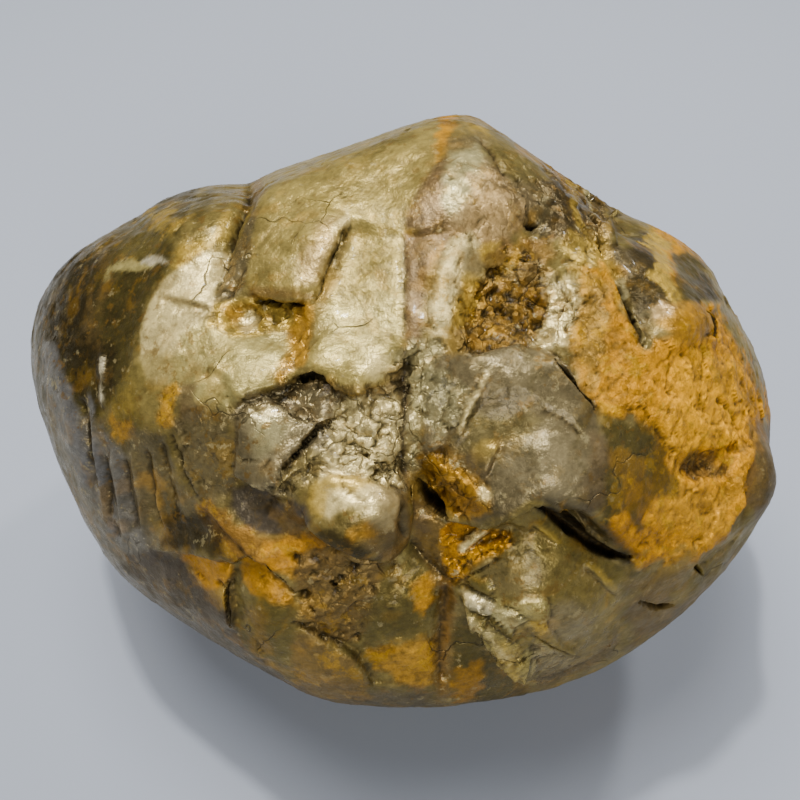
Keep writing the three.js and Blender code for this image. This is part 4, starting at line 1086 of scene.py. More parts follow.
# After its line, a streak says how wide and strong it is, and how far its sides wander
# Some streaks are painted shadows or highlights, as marked
STREAKS: dict[str, Streak] = {
    "shoulder dark one": Streak(Tint.DARK, [(30, 50), (34, 44), (37, 38), (39, 33), (41, 29)], 0.8, 0.8,
        0.9),
    "shoulder dark two": Streak(Tint.DARK, [(27, 42), (29, 37), (29.6, 31)], 0.8, 0.7, 1.0),
    "shoulder light": Streak(Tint.YELLOW, [(33, 47), (35, 41), (35.6, 34)], 0.7, 0.7, 0.9),
    # Painted highlight along the shoulder
    "shoulder highlight": Streak(Tint.PALE_GREY, [(36.4, 43), (37.8, 39), (38.4, 35)], 0.7, 0.7, 0.9),
    "hump dark": Streak(Tint.BROWN, [(17, 47), (20.4, 43), (23, 38), (24.6, 33)], 0.6, 0.6, 1.0),
    # Painted highlights along the flakes' edges
    "flake highlight one": Streak(Tint.CREAM, [(12, -38.4), (15, -39.6), (18.4, -40.6), (20.4, -42.4)], 0.4, 0.7,
        0.5),
    "flake highlight two": Streak(Tint.CREAM, [(13.6, -41.4), (17.4, -44.8), (20, -48.4), (22.6, -52)], 0.5, 0.8,
        0.5),
    "flake highlight three": Streak(Tint.CREAM, [(22, -40.6), (25, -38.8), (28.6, -38.9)], 0.4, 0.7, 0.4),
    # Painted shadows under the flakes' edges
    "flake shadow one": Streak(Tint.DARK, [(14, -40.8), (17.4, -42.4), (21, -45.4), (23, -48.4)], 0.5, 0.8,
        0.3),
    "flake shadow two": Streak(Tint.DARK, [(20.4, -41.8), (24, -43.6), (26.6, -47)], 0.5, 0.7, 0.4),
    "white vein": Streak(Tint.PALE, [(-59, 25.6), (-56, 26.6), (-52, 26.6), (-49, 27.6), (-46.6, 27.6)], 1.7,
        0.95, 0.6),
    "white vein end": Streak(Tint.WHITE, [(-51.4, 27.6), (-48, 28), (-46.6, 27.4)], 1.6, 0.9, 0.4),
    "vein end": Streak(Tint.PALE, [(-59, 24), (-58, 26.6)], 1.6, 0.7, 0.6),
    "brow": Streak(Tint.BLACK, [(-30, 44), (-31, 39.6), (-32.8, 35.4), (-34, 31), (-34.6, 28)], 1.0, 0.9,
        0.5),
    # Painted shadow under the shelf's overhang
    "shelf": Streak(Tint.BLACK, [(-29, 19.6), (-24, 19), (-19, 18.8)], 0.9, 0.9, 0.2),
    # Painted shade on the ridge step's narrow face
    "ridge step": Streak(Tint.DARK, [(-10.6, 35), (-12.6, 31), (-14.6, 26.6), (-16, 23), (-17, 19.6)], 0.4,
        0.8, 0.3),
    # Painted highlight along the upper edge of the ridge step
    "ridge highlight": Streak(Tint.CREAM, [(-10.6, 38), (-10.6, 35.6), (-12.6, 34), (-14, 32)], 1.2, 0.6, 0.6),
    "cream crack": Streak(Tint.BROWN, LEDGES["cream facet end"].line, 0.3, 0.8, 0.15),
    "broken rim": Streak(Tint.DARK, [(-24, 2.2), (-20, 3.6), (-17, 4.6), (-14, 2.6), (-12, 1)], 0.8, 0.85,
        0.4),
    "centre fissure": Streak(Tint.BROWN, [(1, 11), (0.6, 0), (0.4, -8), (1.8, -17)], 0.8, 0.7, 0.5),
    "centre line": Streak(Tint.DULL_GREY, [(0.5, 40), (0.4, 24), (0.8, 12)], 0.3, 0.7, 0.1),
    # Painted shadow under the cream lump's overhang
    "lump shadow edge": Streak(Tint.DARK, [(-16, -27.6), (-9, -31), (-3, -31.6), (1, -28), (2, -20)], 0.8, 0.8,
        0.4),
    "facet crease": Streak(Tint.DARK, LEDGES["grey facet ridge"].line, 1.0, 0.8, 0.4),
    "upper crease": Streak(Tint.BROWN, [(-27, -0.4), (-22, -1), (-17, -3.6), (-14, -6)], 0.5, 0.7, 0.3),
    "facet foot": Streak(Tint.BLACK, [(-29.6, -17), (-26, -18.6), (-22, -20.6)], 0.8, 0.8, 0.3),
    "inner crack": Streak(Tint.BROWN, [(20, -9), (18.4, -12.6), (16.8, -15)], 0.5, 0.8, 0.2),
    # Painted highlight along the scratch ridge
    "scratch": Streak(Tint.CREAM, [(17.6, 5.6), (14, -1), (10.6, -8.4)], 0.6, 0.6, 0.3),
    "vein": Streak(Tint.RUST, [(9, -34), (9, -42), (8.4, -50), (8.6, -60)], 1.6, 0.6, 0.8),
    "star": Streak(Tint.BLACK, [(6, -30), (9, -34), (12, -38)], 0.6, 0.7, 0.4),
    # Painted shadow under the big flake's edge
    "flake edge": Streak(Tint.DARK, [(12, -39.2), (14.6, -44), (17, -48), (20, -51.8), (22.4, -54.8),
        (27, -55.6)], 0.9, 0.8, 0.3),
    "flake bed": Streak(Tint.OLIVE, [(13, -40.6), (16, -42), (19.6, -43.8), (22, -46.4)], 0.7, 0.8, 0.3),
    # Painted shadow along the chip's foot
    "chip foot": Streak(Tint.DARK, [(26.8, -46.8), (29.6, -48.8), (33, -50.2), (35.4, -51)], 0.5, 0.8, 0.2),
    "thin mouth": Streak(Tint.DARK, [(9.2, -24), (13, -24.8), (17.2, -25.4), (20.8, -24), (24.8, -22.6)],
        0.5, 0.8, 0.2),
    "rim step": Streak(Tint.DARK, LEDGES["rim step"].line, 0.4, 0.7, 0.2),
    "foot rim": Streak(Tint.DARK, [(24, -55.6), (30, -55.6), (38, -52), (43, -47.6)], 0.6, 0.7, 0.3),
    # Painted highlights: two glints on a ridge of the left end
    "ridge glint upper": Streak(Tint.WHITE, [(-59.5, 8.4), (-59.2, 6), (-59.3, 4.2)], 0.5, 0.8, 0.5),
    "ridge glint lower": Streak(Tint.WHITE, [(-59.3, 3), (-59.7, 1.6), (-59.3, 0)], 0.8, 0.9, 0.5),
    "wedge notch": Streak(Tint.DARK, [(-34, -35), (-34, -40), (-33, -45)], 1.1, 0.8, 0.3),
    "wedge top": Streak(Tint.DARK, [(-46, -31), (-40, -31.4), (-34, -33), (-31, -31), (-26, -33),
        (-22, -38)], 0.5, 0.8, 0.3),
    "lower crack": Streak(Tint.DARK, [(-20, -44.6), (-13, -48), (-9, -51), (-5.6, -57)], 0.5, 0.7, 0.3),
    "bulge crack": Streak(Tint.BROWN, [(15.6, 52), (18, 49.6), (20.6, 43.4)], 0.5, 0.8, 0.2),
    "boss arc": Streak(Tint.DARK, [(60, 17.6), (62.6, 14), (62, 10)], 0.7, 0.8, 0.2),
    # Painted shade: the black inside the deep pocket
    "pocket": Streak(Tint.BLACK, [(3.8, -16), (6, -19), (9, -24)], 2.4, 0.9, 0.4),
    "hollow top": Streak(Tint.DARK, [(15, 23.6), (19, 26), (25, 26)], 0.6, 0.5, 1.0),
}


# Nodes and arithmetic for the finishes


@dataclass(frozen=True)
class Value:
    """A number that varies over the surface, with Python's arithmetic."""

    nodes: "Nodes"
    socket: bpy.types.NodeSocket

    def __add__(self, other: "Value | float") -> "Value":
        """The sum."""
        return self.nodes.maths("ADD", self, other)

    __radd__ = __add__

    def __mul__(self, other: "Value | float") -> "Value":
        """The product."""
        return self.nodes.maths("MULTIPLY", self, other)

    __rmul__ = __mul__

    def __sub__(self, other: "Value | float") -> "Value":
        """The difference."""
        return self.nodes.maths("SUBTRACT", self, other)

    def __rsub__(self, other: float) -> "Value":
        """The difference, with this value taken away."""
        return self.nodes.maths("SUBTRACT", other, self)

    def step(self, low: float, high: float) -> "Value":
        """Rises smoothly from 0 at low to 1 at high."""
        return self.nodes.number(
            "ShaderNodeMapRange",
            {"interpolation_type": "SMOOTHSTEP"},
            {"Value": self, "From Min": low, "From Max": high},
        )


class Nodes:
    """The node tree of one material."""

    def __init__(self, material: bpy.types.Material) -> None:
        """Clears the material's tree, ready for new nodes."""
        material.use_nodes = True
        self.tree = material.node_tree
        self.tree.nodes.clear()

    def node(self, kind: str, settings: dict[str, Any], inputs: dict[Any, Any]) -> bpy.types.Node:
        """Adds a node.

        Args:
            kind: the node's type.
            settings: its properties, which are set first.
            inputs: the values or links of its sockets, by name or place.

        Returns:
            The new node.
        """
        made = self.tree.nodes.new(kind)
        for name, setting in settings.items():
            setattr(made, name, setting)
        for name, given in inputs.items():
            socket = made.inputs[name]
            source = given.socket if isinstance(given, Value) else given
            if isinstance(source, bpy.types.NodeSocket):
                self.tree.links.new(source, socket)
            else:
                socket.default_value = source
        return made

    def number(self, kind: str, settings: dict[str, Any], inputs: dict[Any, Any], out: Any = 0) -> Value:
        """Adds a node and returns one of its outputs as a value."""
        return Value(self, self.node(kind, settings, inputs).outputs[out])

    def maths(self, operation: str, first: Any, second: Any) -> Value:
        """Adds a Math node and returns its result."""
        return self.number("ShaderNodeMath", {"operation": operation}, {0: first, 1: second})

    def vector(self, operation: str, inputs: dict[Any, Any]) -> bpy.types.NodeSocket:
        """Adds a Vector Math node and returns its vector."""
        return self.node("ShaderNodeVectorMath", {"operation": operation}, inputs).outputs[0]

    def mix(self, share: Any, first: Any, second: Any) -> bpy.types.NodeSocket:
        """Mixes two colours and returns the result."""
        return self.node("ShaderNodeMix", {"data_type": "RGBA"}, {0: share, 6: first, 7: second}).outputs[2]

    def noise(self, at: Any, size: float, detail: float, roughness: float) -> Value:
        """Noise with lumps about size millimetres wide, from 0 to 1."""
        inputs = {"Vector": at, "Scale": 1.0 / (size * MM), "Detail": detail, "Roughness": roughness}
        return self.number("ShaderNodeTexNoise", {}, inputs)

    def painted(self, name: str) -> Value:
        """A number that is painted on the stone's points."""
        return self.number("ShaderNodeAttribute", {"attribute_name": name}, {}, "Fac")

    def surface(self, inputs: dict[Any, Any]) -> None:
        """Adds the shader that takes these inputs, and makes it the material's surface."""
        shader = self.node("ShaderNodeBsdfPrincipled", {}, inputs)
        self.node("ShaderNodeOutputMaterial", {}, {"Surface": shader.outputs[0]})


@dataclass(frozen=True)
class Speckle:
    """Noise that shows where it is over low, and in full where it is over high."""

    size: float
    detail: float
    roughness: float
    low: float
    high: float

    def over(self, nodes: Nodes, at: Any) -> Value:
        """How strongly the speckle shows, from 0 to 1."""
        return nodes.noise(at, self.size, self.detail, self.roughness).step(self.low, self.high)


@dataclass(frozen=True)
class JasperFinish:
    """Wet, polished jasper, with grainy ground where it is rusty.

    It reads what is painted on the stone's points: tint, gloss, grain and broken.
    """

    name: str = "jasper_wet"
    specular: float = 0.22
    film_roughness: float = 0.08
    film_ior: float = 1.33
    edge: Colour = (0.8, 0.67, 0.4, 1.0)
    gold: Colour = (0.44, 0.23, 0.004, 1.0)
    rust: Colour = (0.15, 0.08, 0.014, 1.0)
    earth: Colour = (0.035, 0.027, 0.012, 1.0)
    pale: Colour = (0.46, 0.38, 0.18, 1.0)
    broad: Speckle = Speckle(7.3, 6.0, 0.68, 0.34, 0.66)
    fine: Speckle = Speckle(1.3, 5.0, 0.7, 0.3, 0.7)
    murk: Speckle = Speckle(3.7, 6.0, 0.7, 0.48, 0.63)
    glow: Speckle = Speckle(4.6, 6.0, 0.7, 0.54, 0.6)
    freckle: Speckle = Speckle(1.9, 4.0, 0.65, 0.56, 0.62)
    freckled: Speckle = Speckle(11.0, 3.0, 0.5, 0.45, 0.6)
    fleck: Speckle = Speckle(2.3, 5.0, 0.7, 0.6, 0.65)
    dull: Speckle = Speckle(3.1, 5.0, 0.65, 0.3, 0.7)
    cracked: Speckle = Speckle(16.0, 2.0, 0.5, 0.56, 0.66)
    crack_width: float = 0.14
    fine_crack_width: float = 0.26

    @staticmethod
    def bent(nodes: Nodes, at: Any, size: float, amount: float) -> bpy.types.NodeSocket:
        """Places pushed about by noise, so that a pattern on them bends."""
        bend = nodes.node("ShaderNodeTexNoise", {}, {"Vector": at, "Scale": 1.0 / (size * MM), "Detail": 3.0})
        return nodes.vector("MULTIPLY_ADD", {0: bend.outputs["Color"], 1: (amount * MM,) * 3, 2: at})

    def cracks(self, nodes: Nodes, at: Any, size: float, width: float) -> Value:
        """Thin lines between cells.

        Args:
            nodes: the material's nodes.
            at: the places.
            size: about how wide a cell is, in millimetres.
            width: how wide a line is.

        Returns:
            1 on a line and 0 off it.
        """
        cells = nodes.number(
            "ShaderNodeTexVoronoi",
            {"feature": "DISTANCE_TO_EDGE"},
            {"Vector": self.bent(nodes, at, 0.6 * size, 0.6 * size), "Scale": 1.0 / (size * MM)},
        )
        return 1 - cells.step(0.0, width / size)

    def chips(self, nodes: Nodes, at: Any, size: float, slope: float) -> Value:
        """Flat chips at random tilts.

        Args:
            nodes: the material's nodes.
            at: the places.
            size: about how wide a chip is, in millimetres.
            slope: how steeply the chips tilt.

        Returns:
            The height in millimetres.
        """
        place = self.bent(nodes, at, 1.5 * size, 0.8 * size)
        cell = nodes.node("ShaderNodeTexVoronoi", {}, {"Vector": place, "Scale": 1.0 / (size * MM)})
        arm = nodes.vector("SUBTRACT", {0: place, 1: cell.outputs["Position"]})
        tilt = nodes.vector("SUBTRACT", {0: cell.outputs["Color"], 1: (0.5, 0.5, 0.5)})
        rise = nodes.number("ShaderNodeVectorMath", {"operation": "DOT_PRODUCT"}, {0: arm, 1: tilt}, "Value")
        return rise * (2.0 * slope / MM)

    def colour(
        self, nodes: Nodes, at: Any, gloss: Value, grain: Value, broken: Value, lines: Value
    ) -> bpy.types.NodeSocket:
        """The painted tint with mottling, freckles, grains and dark hairlines over it.

        Args:
            nodes: the material's nodes.
            at: the places.
            gloss: how wet and polished the surface is.
            grain: how grainy it is.
            broken: how chipped it is.
            lines: 1 on a hairline and 0 off it.

        Returns:
            The colour.
        """
        tint = nodes.node("ShaderNodeAttribute", {"attribute_name": "tint"}, {}).outputs["Color"]
        mottle = 0.36 * self.broad.over(nodes, at) + 0.25 * self.fine.over(nodes, at)
        light = 0.43 + 0.24 * grain + mottle * (1 - 0.3 * grain)
        murk = self.murk.over(nodes, at) * (0.28 + 0.22 * grain)
        glow = self.glow.over(nodes, at) * (0.1 * gloss + 0.7 * grain)
        freckle = self.freckle.over(nodes, at) * self.freckled.over(nodes, at) * gloss * 0.7
        fleck = self.fleck.over(nodes, at) * (0.35 - 0.35 * grain + 0.55 * broken) * gloss
        colour = nodes.vector("SCALE", {0: tint, "Scale": light})
        for share, over in (
            (murk, self.earth),
            (glow, self.gold),
            (freckle, self.rust),
            (fleck, self.pale),
            (lines * 0.65, self.earth),
        ):
            colour = nodes.mix(share, colour, over)
        return colour

    def height(self, nodes: Nodes, at: Any, grain: Value, broken: Value, lines: Value) -> Value:
        """The finest relief.

        Args:
            nodes: the material's nodes.
            at: the places.
            grain: how grainy the surface is.
            broken: how chipped it is.
            lines: 1 on a hairline and 0 off it.

        Returns:
            The height in millimetres.
        """
        ripple = nodes.noise(at, 2.6, 4.0, 0.6) * 0.28 + nodes.noise(at, 0.6, 3.0, 0.6) * 0.07
        crumb = nodes.noise(at, 1.4, 5.0, 0.7) * 0.6
        broad = self.chips(nodes, at, 2.8, 0.3) * (0.14 + broken)
        small = self.chips(nodes, at, 1.1, 0.4) * (0.12 + 1.3 * broken + 0.5 * grain)
        return ripple + grain * crumb + broad + small - lines * 0.18

    def material(self) -> bpy.types.Material:
        """Makes the material.

        Returns:
            The material, which reads the stone's painted attributes.
        """
        made = bpy.data.materials.new(self.name)
        nodes = Nodes(made)
        at = nodes.node("ShaderNodeTexCoord", {}, {}).outputs["Object"]
        gloss, grain, broken = (nodes.painted(name) for name in ("gloss", "grain", "broken"))
        lines = self.cracks(nodes, at, 17.0, self.crack_width) * self.cracked.over(nodes, at)
        lines = lines + self.cracks(nodes, at, 4.5, self.fine_crack_width) * broken
        height = self.height(nodes, at, grain, broken, lines)
        bump = nodes.node("ShaderNodeBump", {}, {"Strength": 1.0, "Distance": MM, "Height": height})
        dull = self.dull.over(nodes, at)
        nodes.surface(
            {
                "Base Color": self.colour(nodes, at, gloss, grain, broken, lines),
                "Roughness": 0.52 - 0.3 * gloss + 0.16 * dull,
                "Specular IOR Level": self.specular,
                "Specular Tint": self.edge,
                "Metallic": gloss * 0.5,
                "Coat Weight": gloss * gloss * (0.24 - 0.18 * dull),
                "Coat Roughness": self.film_roughness,
                "Coat IOR": self.film_ior,
                "Normal": bump.outputs[0],
            }
        )
        return made


@dataclass(frozen=True)
class FloorFinish:
    """Plain matt ground."""

    name: str = "pale_floor"
    colour: Colour = (0.31, 0.335, 0.385, 1.0)
    roughness: float = 0.9

    def material(self) -> bpy.types.Material:
        """Makes the material.

        Returns:
            The material of the floor.
        """
        made = bpy.data.materials.new(self.name)
        Nodes(made).surface({"Base Color": self.colour, "Roughness": self.roughness})
        return made


# Meshes and objects


@contextmanager
def edited(mesh: bpy.types.Mesh) -> Iterator[bmesh.types.BMesh]:
    """Opens a mesh for bmesh's operators, and writes what they make back into it."""
    shape = bmesh.new()
    shape.from_mesh(mesh)
    yield shape
    shape.to_mesh(mesh)
    shape.free()


def placed(name: str, data: bpy.types.ID) -> bpy.types.Object:
    """Puts a new object with this data into the scene."""
    made = bpy.data.objects.new(name, data)
    bpy.context.scene.collection.objects.link(made)
    return made


def read_points(mesh: bpy.types.Mesh) -> tuple[Array, Array]:
    """The mesh's points in millimetres and its unit normals."""
    count = len(mesh.vertices)
    places = np.empty(count * 3)
    mesh.vertices.foreach_get("co", places)
    normals = np.empty(count * 3)
    mesh.vertices.foreach_get("normal", normals)
    return places.reshape(-1, 3) / MM, normals.reshape(-1, 3)


def write_points(mesh: bpy.types.Mesh, points: Array) -> None:
    """Moves the mesh's points to places in millimetres."""
    mesh.vertices.foreach_set("co", (points * MM).ravel())
    mesh.update()


def hollowness(mesh: bpy.types.Mesh, rounds: int) -> Array:
    """How far the surface round each point stands out over it, in millimetres, below 0 on an edge.

    Args:
        mesh: the mesh to measure.
        rounds: how many times the surface is evened out to compare with.

    Returns:
        One height for each point.
    """
    points, normals = read_points(mesh)
    ends = np.zeros(len(mesh.edges) * 2, dtype=np.int32)
    mesh.edges.foreach_get("vertices", ends)
    ends = ends.reshape(-1, 2)
    count = np.bincount(ends.ravel(), minlength=len(points))[:, None]
    even = points
    for _ in range(rounds):
        total = np.zeros_like(even)
        np.add.at(total, ends[:, 0], even[ends[:, 1]])
        np.add.at(total, ends[:, 1], even[ends[:, 0]])
        even = total / count
    return np.sum((even - points) * normals, axis=1)


# The stone

# Khaki is there twice, because it is the most common
FRAGMENT_TINTS = (
    Tint.KHAKI, Tint.OLIVE, Tint.DULL_KHAKI, Tint.BROWN, Tint.GREY, Tint.DARK_OLIVE, Tint.KHAKI,
)


def fragments(points: Array) -> tuple[Array, Array]:
    """The healed fragments of the breccia on the hidden sides.

    Args:
        points: places in millimetres.

    Returns:
        How far each point lies from a seam, and a number from 0 to 1 for its fragment.
    """
    bent = Pattern(Seed.FRAGMENT_BEND).warped(points, 22.0, 7.0)
    _, gap, number = Pattern(Seed.FRAGMENTS).cells(bent, 25.0)
    return gap, number


@dataclass
class Ground:
    """What the surface is like at each of the stone's points."""

    tint: Array
    gloss: Array
    grain: Array
    broken: Array
    pits: Array

    @classmethod
    def of(cls, points: Array) -> "Ground":
        """The ground that lies under the painted patches and all over the hidden sides.

        Args:
            points: the stone's points in millimetres.

        Returns:
            The new ground.
        """
        tints = np.array([tint.linear for tint in FRAGMENT_TINTS])
        gap, number = fragments(points)
        crust = smooth(0.05, 0.3, Pattern(Seed.CRUST).rough(points, 34.0))
        seam = 1.0 - smooth(0.0, 0.07, gap + 0.03 * Pattern(Seed.SEAM_EDGE).rough(points, 3.0))
        ground = cls(
            tint=tints[(number * (len(tints) - 0.01)).astype(int)],
            gloss=0.62 - 0.2 * crust,
            grain=0.8 * crust,
            broken=0.5 * smooth(0.1, 0.4, Pattern(Seed.HIDDEN_BROKEN).rough(points, 26.0)),
            pits=0.6 * smooth(0.1, 0.3, Pattern(Seed.HIDDEN_PITS).rough(points, 22.0)),
        )
        ground.stain(crust * 0.9, Tint.OCHRE)
        ground.stain(seam * 0.8, Tint.BROWN)
        return ground

    def stain(self, cover: Array, tint: Tint) -> None:
        """Lays a colour alone over the ground."""
        self.tint = self.tint + (tint.linear - self.tint) * cover[:, None]

    def lay(self, cover: Array, patch: Patch) -> None:
        """Lays a patch over the ground.

        Args:
            cover: how much of the patch lies over each point.
            patch: the patch.
        """
        self.stain(cover, patch.tint)
        for name in ("gloss", "grain", "broken", "pits"):
            below = getattr(self, name)
            setattr(self, name, below + (getattr(patch, name) - below) * cover)

    def marble(self, points: Array, shown: Array) -> None:
        """Lets the stone's earthy and rusty matrix show through in islands and thin seams.

        Args:
            points: the stone's points in millimetres.
            shown: how much of each point the eye sees.
        """
        seam = 1.0 - smooth(0.0, 0.05, np.abs(Pattern(Seed.MATRIX).rough(points, 13.0)))
        seam *= smooth(-0.1, 0.2, Pattern(Seed.MATRIX_PLACES).rough(points, 16.0))
        island = smooth(0.24, 0.42, Pattern(Seed.ISLANDS).rough(points, 5.0))
        dark = smooth(-0.1, 0.1, Pattern(Seed.DARK_MATRIX).rough(points, 12.0))
        self.stain(0.5 * np.maximum(seam, 0.8 * island) * dark * shown, Tint.DARK_OLIVE)
        self.stain(0.35 * np.maximum(seam, 0.6 * island) * (1.0 - dark) * shown, Tint.AMBER)

    def write(self, mesh: bpy.types.Mesh) -> None:
        """Writes the paint as attributes that the finish reads.

        Args:
            mesh: the stone's mesh.
        """
        colour = mesh.attributes.new("tint", "FLOAT_COLOR", "POINT")
        rows = np.concatenate([self.tint, np.ones((len(self.tint), 1))], axis=1)
        colour.data.foreach_set("color", rows.ravel())
        for name in ("gloss", "grain", "broken"):
            layer = mesh.attributes.new(name, "FLOAT", "POINT")
            layer.data.foreach_set("value", getattr(self, name))


@dataclass
class Stone:
    """The jasper itself: one piece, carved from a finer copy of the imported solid.

    voxel, sharp_reach and merge are millimetres. seen and seen_sharp say how squarely a point has to face the
    eye before the mesh is made finer there, and finer again along the sharp marks.
    """

    sight: Sight = field(default_factory=Sight)
    voxel: float = 1.3
    smoothing: int = 8
    sharp_reach: float = 0.8
    merge: float = 0.001
    seen: float = 0.02
    seen_sharp: float = 0.05

    def shell(self) -> bpy.types.Object:
        """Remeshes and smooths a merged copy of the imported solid.

        Returns:
            The new object, still plain.
        """
        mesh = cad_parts["jasper_stone"].data.copy()
        with edited(mesh) as shape:
            bmesh.ops.remove_doubles(shape, verts=shape.verts, dist=self.merge * MM)
        blank = placed("blank", mesh)
        remesh = blank.modifiers.new("remesh", "REMESH")
        remesh.mode = "VOXEL"
        remesh.voxel_size = self.voxel * MM
        ready = blank.evaluated_get(bpy.context.evaluated_depsgraph_get())
        fine = bpy.data.meshes.new_from_object(ready)
        bpy.data.objects.remove(blank)
        axes = dict.fromkeys(("use_axis_x", "use_axis_y", "use_axis_z"), True)
        with edited(fine) as shape:
            for _ in range(self.smoothing):
                bmesh.ops.smooth_vert(shape, verts=shape.verts, factor=0.5, **axes)
        fine.name = "jasper"
        return placed("jasper", fine)

    @staticmethod
    def split(mesh: bpy.types.Mesh, chosen: Array) -> None:
        """Splits the edges between chosen points, so that they can carry finer carving.

        Args:
            mesh: the stone's mesh.
            chosen: whether each point is chosen.
        """
        with edited(mesh) as shape:
            edges = [edge for edge in shape.edges if all(chosen[vert.index] for vert in edge.verts)]
            bmesh.ops.subdivide_edges(shape, edges=edges, cuts=1, use_grid_fill=True)

    def refine(self, mesh: bpy.types.Mesh) -> None:
        """Makes the mesh finer where the eye sees it, and finer again along the sharp marks.

        Args:
            mesh: the stone's mesh.
        """
        points, normals = read_points(mesh)
        self.split(mesh, self.sight.facing(points, normals) > self.seen)
        points, normals = read_points(mesh)
        at = self.sight.mapped(points)
        near = np.zeros(len(points), dtype=bool)
        for cleft in CLEFTS.values():
            near |= offset_from(cleft.line, at).far < self.sharp_reach + cleft.width / 2
        for ledge in LEDGES.values():
            near |= offset_from(ledge.line, at).far < self.sharp_reach
        self.split(mesh, near & (self.sight.facing(points, normals) > self.seen_sharp))
        log.info("refined to %d faces", len(mesh.polygons))

    def carve_forms(self, mesh: bpy.types.Mesh) -> None:
        """Carves the lumps, ledges, grooves and open clefts.

        Args:
            mesh: the stone's mesh.
        """
        points, normals = read_points(mesh)
        at = self.sight.mapped(points)
        facing = self.sight.facing(points, normals)
        shown = smooth(-0.05, 0.2, facing)
        relief = 0.3 * Pattern(Seed.WAVES).rough(points, 11.0)
        relief += 0.1 * Pattern(Seed.RIPPLES).rough(points, 3.6)
        for table in (SWELLS, LEDGES, GROOVES):
            for mark in table.values():
                relief += mark.relief(at) * shown
        edge_wave = 0.5 * Pattern(Seed.FINE_EDGES).rough(points, 2.2)
        for patch in PATCHES.values():
            if patch.lift:
                relief += patch.lift * patch.cover(at, edge_wave) * shown
        relief += self.hidden_relief(points) * smooth(0.1, 0.4, -facing)
        slide = np.zeros((len(points), 2))
        sink = np.zeros(len(points))
        for cleft in CLEFTS.values():
            down, aside = cleft.shift(at)
            sink = np.maximum(sink, down * shown)
            slide += aside * shown[:, None]
        aside = slide[:, :1] * np.array([1.0, 0.0, 0.0]) + slide[:, 1:] * self.sight.upward
        write_points(mesh, points + normals * relief[:, None] - self.sight.toward * sink[:, None] + aside)

    @staticmethod
    def hidden_relief(points: Array) -> Array:
        """Ledges and creases between fragments, for the sides that the eye doesn't see.

        Args:
            points: places in millimetres.

        Returns:
            One height for each point.
        """
        gap, number = fragments(points)
        steps = (number - 0.5) * 2.2 * smooth(0.0, 0.05, gap)
        creases = -0.9 * (1.0 - smooth(0.0, 0.08, gap))
        return steps + creases + 1.1 * Pattern(Seed.HIDDEN_LUMPS).rough(points, 20.0)

    def carve_surface(self, mesh: bpy.types.Mesh, ground: Ground) -> None:
        """Carves the chips, grains and pits of each kind of ground, and paints the pits black as shade.

        Args:
            mesh: the stone's mesh.
            ground: what its surface is like.
        """
        points, normals = read_points(mesh)
        bent = Pattern(Seed.CHIP_BEND).warped(points, 6.0, 1.8)
        chip = 1.5 * Pattern(Seed.CHIPS).facets(bent, 7.0) + 0.8 * Pattern(Seed.SMALL_CHIPS).facets(bent, 3.2)
        grains, _, _ = Pattern(Seed.GRAINS).cells(points, 2.1)
        crumb = Pattern(Seed.CRUMBS).rough(points, 2.4, 2) * 0.42 - grains**2 * 0.35
        middle, _, number = Pattern(Seed.PITS).cells(points, 2.9)
        pit = ground.pits * (1.0 - smooth(0.12, 0.46, middle)) * (number < 0.75)
        # Painted shade: the carved pits are painted black
        ground.stain(0.9 * pit, Tint.BLACK)
        relief = (0.14 + ground.broken) * chip + ground.grain * crumb - 1.4 * pit
        carved = points + normals * relief[:, None]
        carved[:, 2] = np.maximum(carved[:, 2], 0.0)
        write_points(mesh, carved)

    @staticmethod
    def paint_hollow_shade(mesh: bpy.types.Mesh, ground: Ground) -> None:
        """Paints shade in the finished relief's deep hollows, rust in its shallow ones, and lightens its
        edges.

        Args:
            mesh: the stone's mesh.
            ground: what its surface is like.
        """
        hollow = 0.5 * hollowness(mesh, 3) + 2.6 * hollowness(mesh, 1)
        # Painted shade: the deep hollows of the relief are darkened
        ground.stain(0.8 * smooth(0.12, 0.5, hollow), Tint.DARK)
        ground.stain(0.3 * smooth(0.04, 0.2, hollow) * (1.0 - smooth(0.2, 0.4, hollow)), Tint.WARM_BROWN)
        ground.tint *= (1.0 + 0.3 * smooth(0.1, 0.5, -hollow))[:, None]

    def paint(self, mesh: bpy.types.Mesh) -> Ground:
        """Paints the stone's points.

        Args:
            mesh: the stone's mesh.

        Returns:
            What the surface is like at each point.
        """
        points, normals = read_points(mesh)
        at = self.sight.mapped(points)
        shown = smooth(-0.3, -0.12, self.sight.facing(points, normals))
        ground = Ground.of(points)
        wander = 1.3 * Pattern(Seed.EDGES).rough(points, 7.0)
        wander += 1.3 * Pattern(Seed.FINE_EDGES).rough(points, 2.4)
        for patch in PATCHES.values():
            ground.lay(patch.cover(at, wander) * shown, patch)
        ground.marble(points, shown)
        for streak in STREAKS.values():
            ground.stain(streak.cover(at, wander) * shown, streak.tint)
        # Painted shade: each open cleft is painted black inside and made less glossy
        for cleft in CLEFTS.values():
            cover = cleft.cover(at) * shown
            ground.stain(cover, Tint.BLACK)
            ground.gloss *= 1.0 - 0.8 * cover
        return ground

    def build(self) -> bpy.types.Object:
        """Makes, carves and dresses the stone.

        Returns:
            The finished piece.
        """
        piece = self.shell()
        mesh = piece.data
        self.refine(mesh)
        ground = self.paint(mesh)
        self.carve_forms(mesh)
        self.carve_surface(mesh, ground)
        self.paint_hollow_shade(mesh, ground)
        ground.write(mesh)
        mesh.polygons.foreach_set("use_smooth", [True] * len(mesh.polygons))
        mesh.materials.clear()
        mesh.materials.append(JasperFinish().material())
        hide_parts("jasper_stone")
        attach(piece, "root")
        return piece


# The studio


@dataclass(frozen=True)
class Lamp:
    """A square soft light: its place and its side in metres, and its power in watts."""

    at: tuple[float, float, float]
    side: float
    watts: float


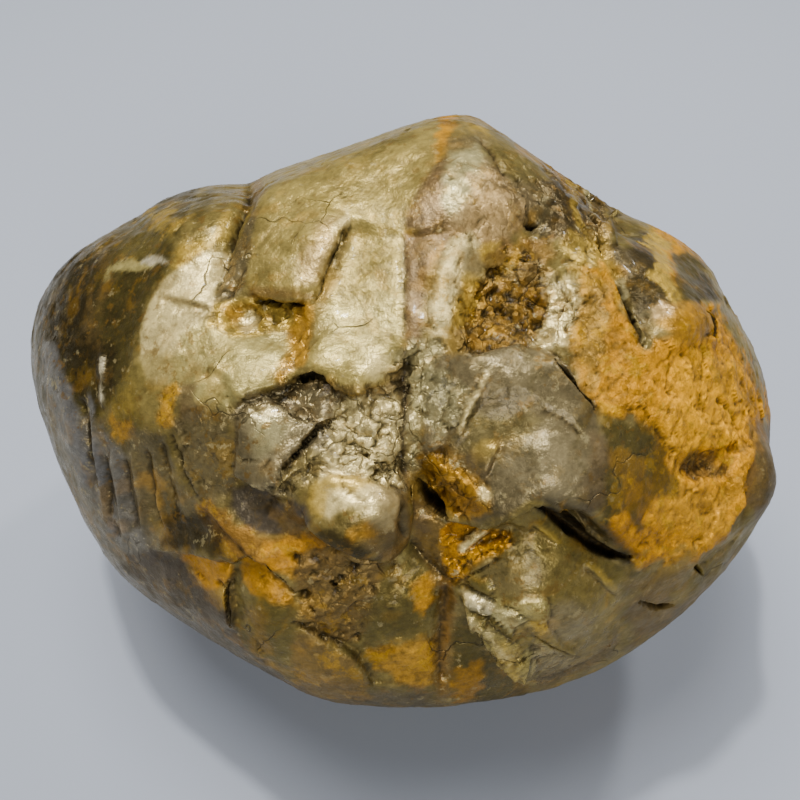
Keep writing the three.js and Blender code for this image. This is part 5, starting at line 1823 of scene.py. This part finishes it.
LAMPS: dict[str, Lamp] = {
    "key": Lamp((-0.15, 0.17, 0.85), 0.5, 8.2),
    "spark": Lamp((-0.1, 0.14, 0.8), 0.04, 4.4),
    "glint": Lamp((0.3, 0.3, 0.5), 0.05, 1.6),
    "fill": Lamp((0.12, -0.78, 0.5), 0.35, 5.0),
}


@dataclass
class Studio:
    """A pale floor, soft lights and the camera at the photograph's angle."""

    sight: Sight = field(default_factory=Sight)
    floor_half: float = 1.2
    glow: Colour = (0.86, 0.9, 0.96, 1.0)
    glow_strength: float = 0.15
    sensor: float = 36.0
    near: float = 0.01

    def floor(self) -> None:
        """Lays a plain pale floor."""
        mesh = bpy.data.meshes.new("floor")
        with edited(mesh) as shape:
            bmesh.ops.create_grid(shape, x_segments=1, y_segments=1, size=self.floor_half)
        mesh.materials.append(FloorFinish().material())
        placed("floor", mesh)

    def lights(self) -> None:
        """Hangs the lamps, which all face the stone, and sets the surroundings' glow."""
        for name, lamp in LAMPS.items():
            light = bpy.data.lights.new(name, "AREA")
            light.size = lamp.side
            light.energy = lamp.watts
            holder = placed(name, light)
            holder.location = lamp.at
            aim = Vector(lamp.at) - Vector(self.sight.middle) * MM
            holder.rotation_euler = aim.to_track_quat("Z", "Y").to_euler()
        world = bpy.data.worlds.new("studio")
        world.use_nodes = True
        background = world.node_tree.nodes["Background"]
        background.inputs["Color"].default_value = self.glow
        background.inputs["Strength"].default_value = self.glow_strength
        bpy.context.scene.world = world

    def camera(self) -> None:
        """Puts the camera at the eye, looking at the stone's middle."""
        data = bpy.data.cameras.new("camera")
        data.sensor_width = self.sensor
        data.lens = self.sensor * self.sight.focal_pixels / self.sight.frame_pixels
        data.clip_start = self.near
        holder = placed("camera", data)
        across = np.cross(self.sight.upward, self.sight.toward)
        turn = Matrix([across, self.sight.upward, self.sight.toward]).transposed().to_4x4()
        holder.matrix_world = Matrix.Translation(Vector(self.sight.eye) * MM) @ turn
        bpy.context.scene.camera = holder


def main() -> None:
    """Builds the stone and its studio."""
    logging.basicConfig(level=logging.INFO, format="%(name)s: %(message)s")
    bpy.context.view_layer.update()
    studio = Studio()
    studio.camera()
    studio.floor()
    studio.lights()
    log.info("studio ready")
    stone = Stone().build()
    log.info("%s: %d faces", stone.name, len(stone.data.polygons))


if __name__ == "__main__":
    main()
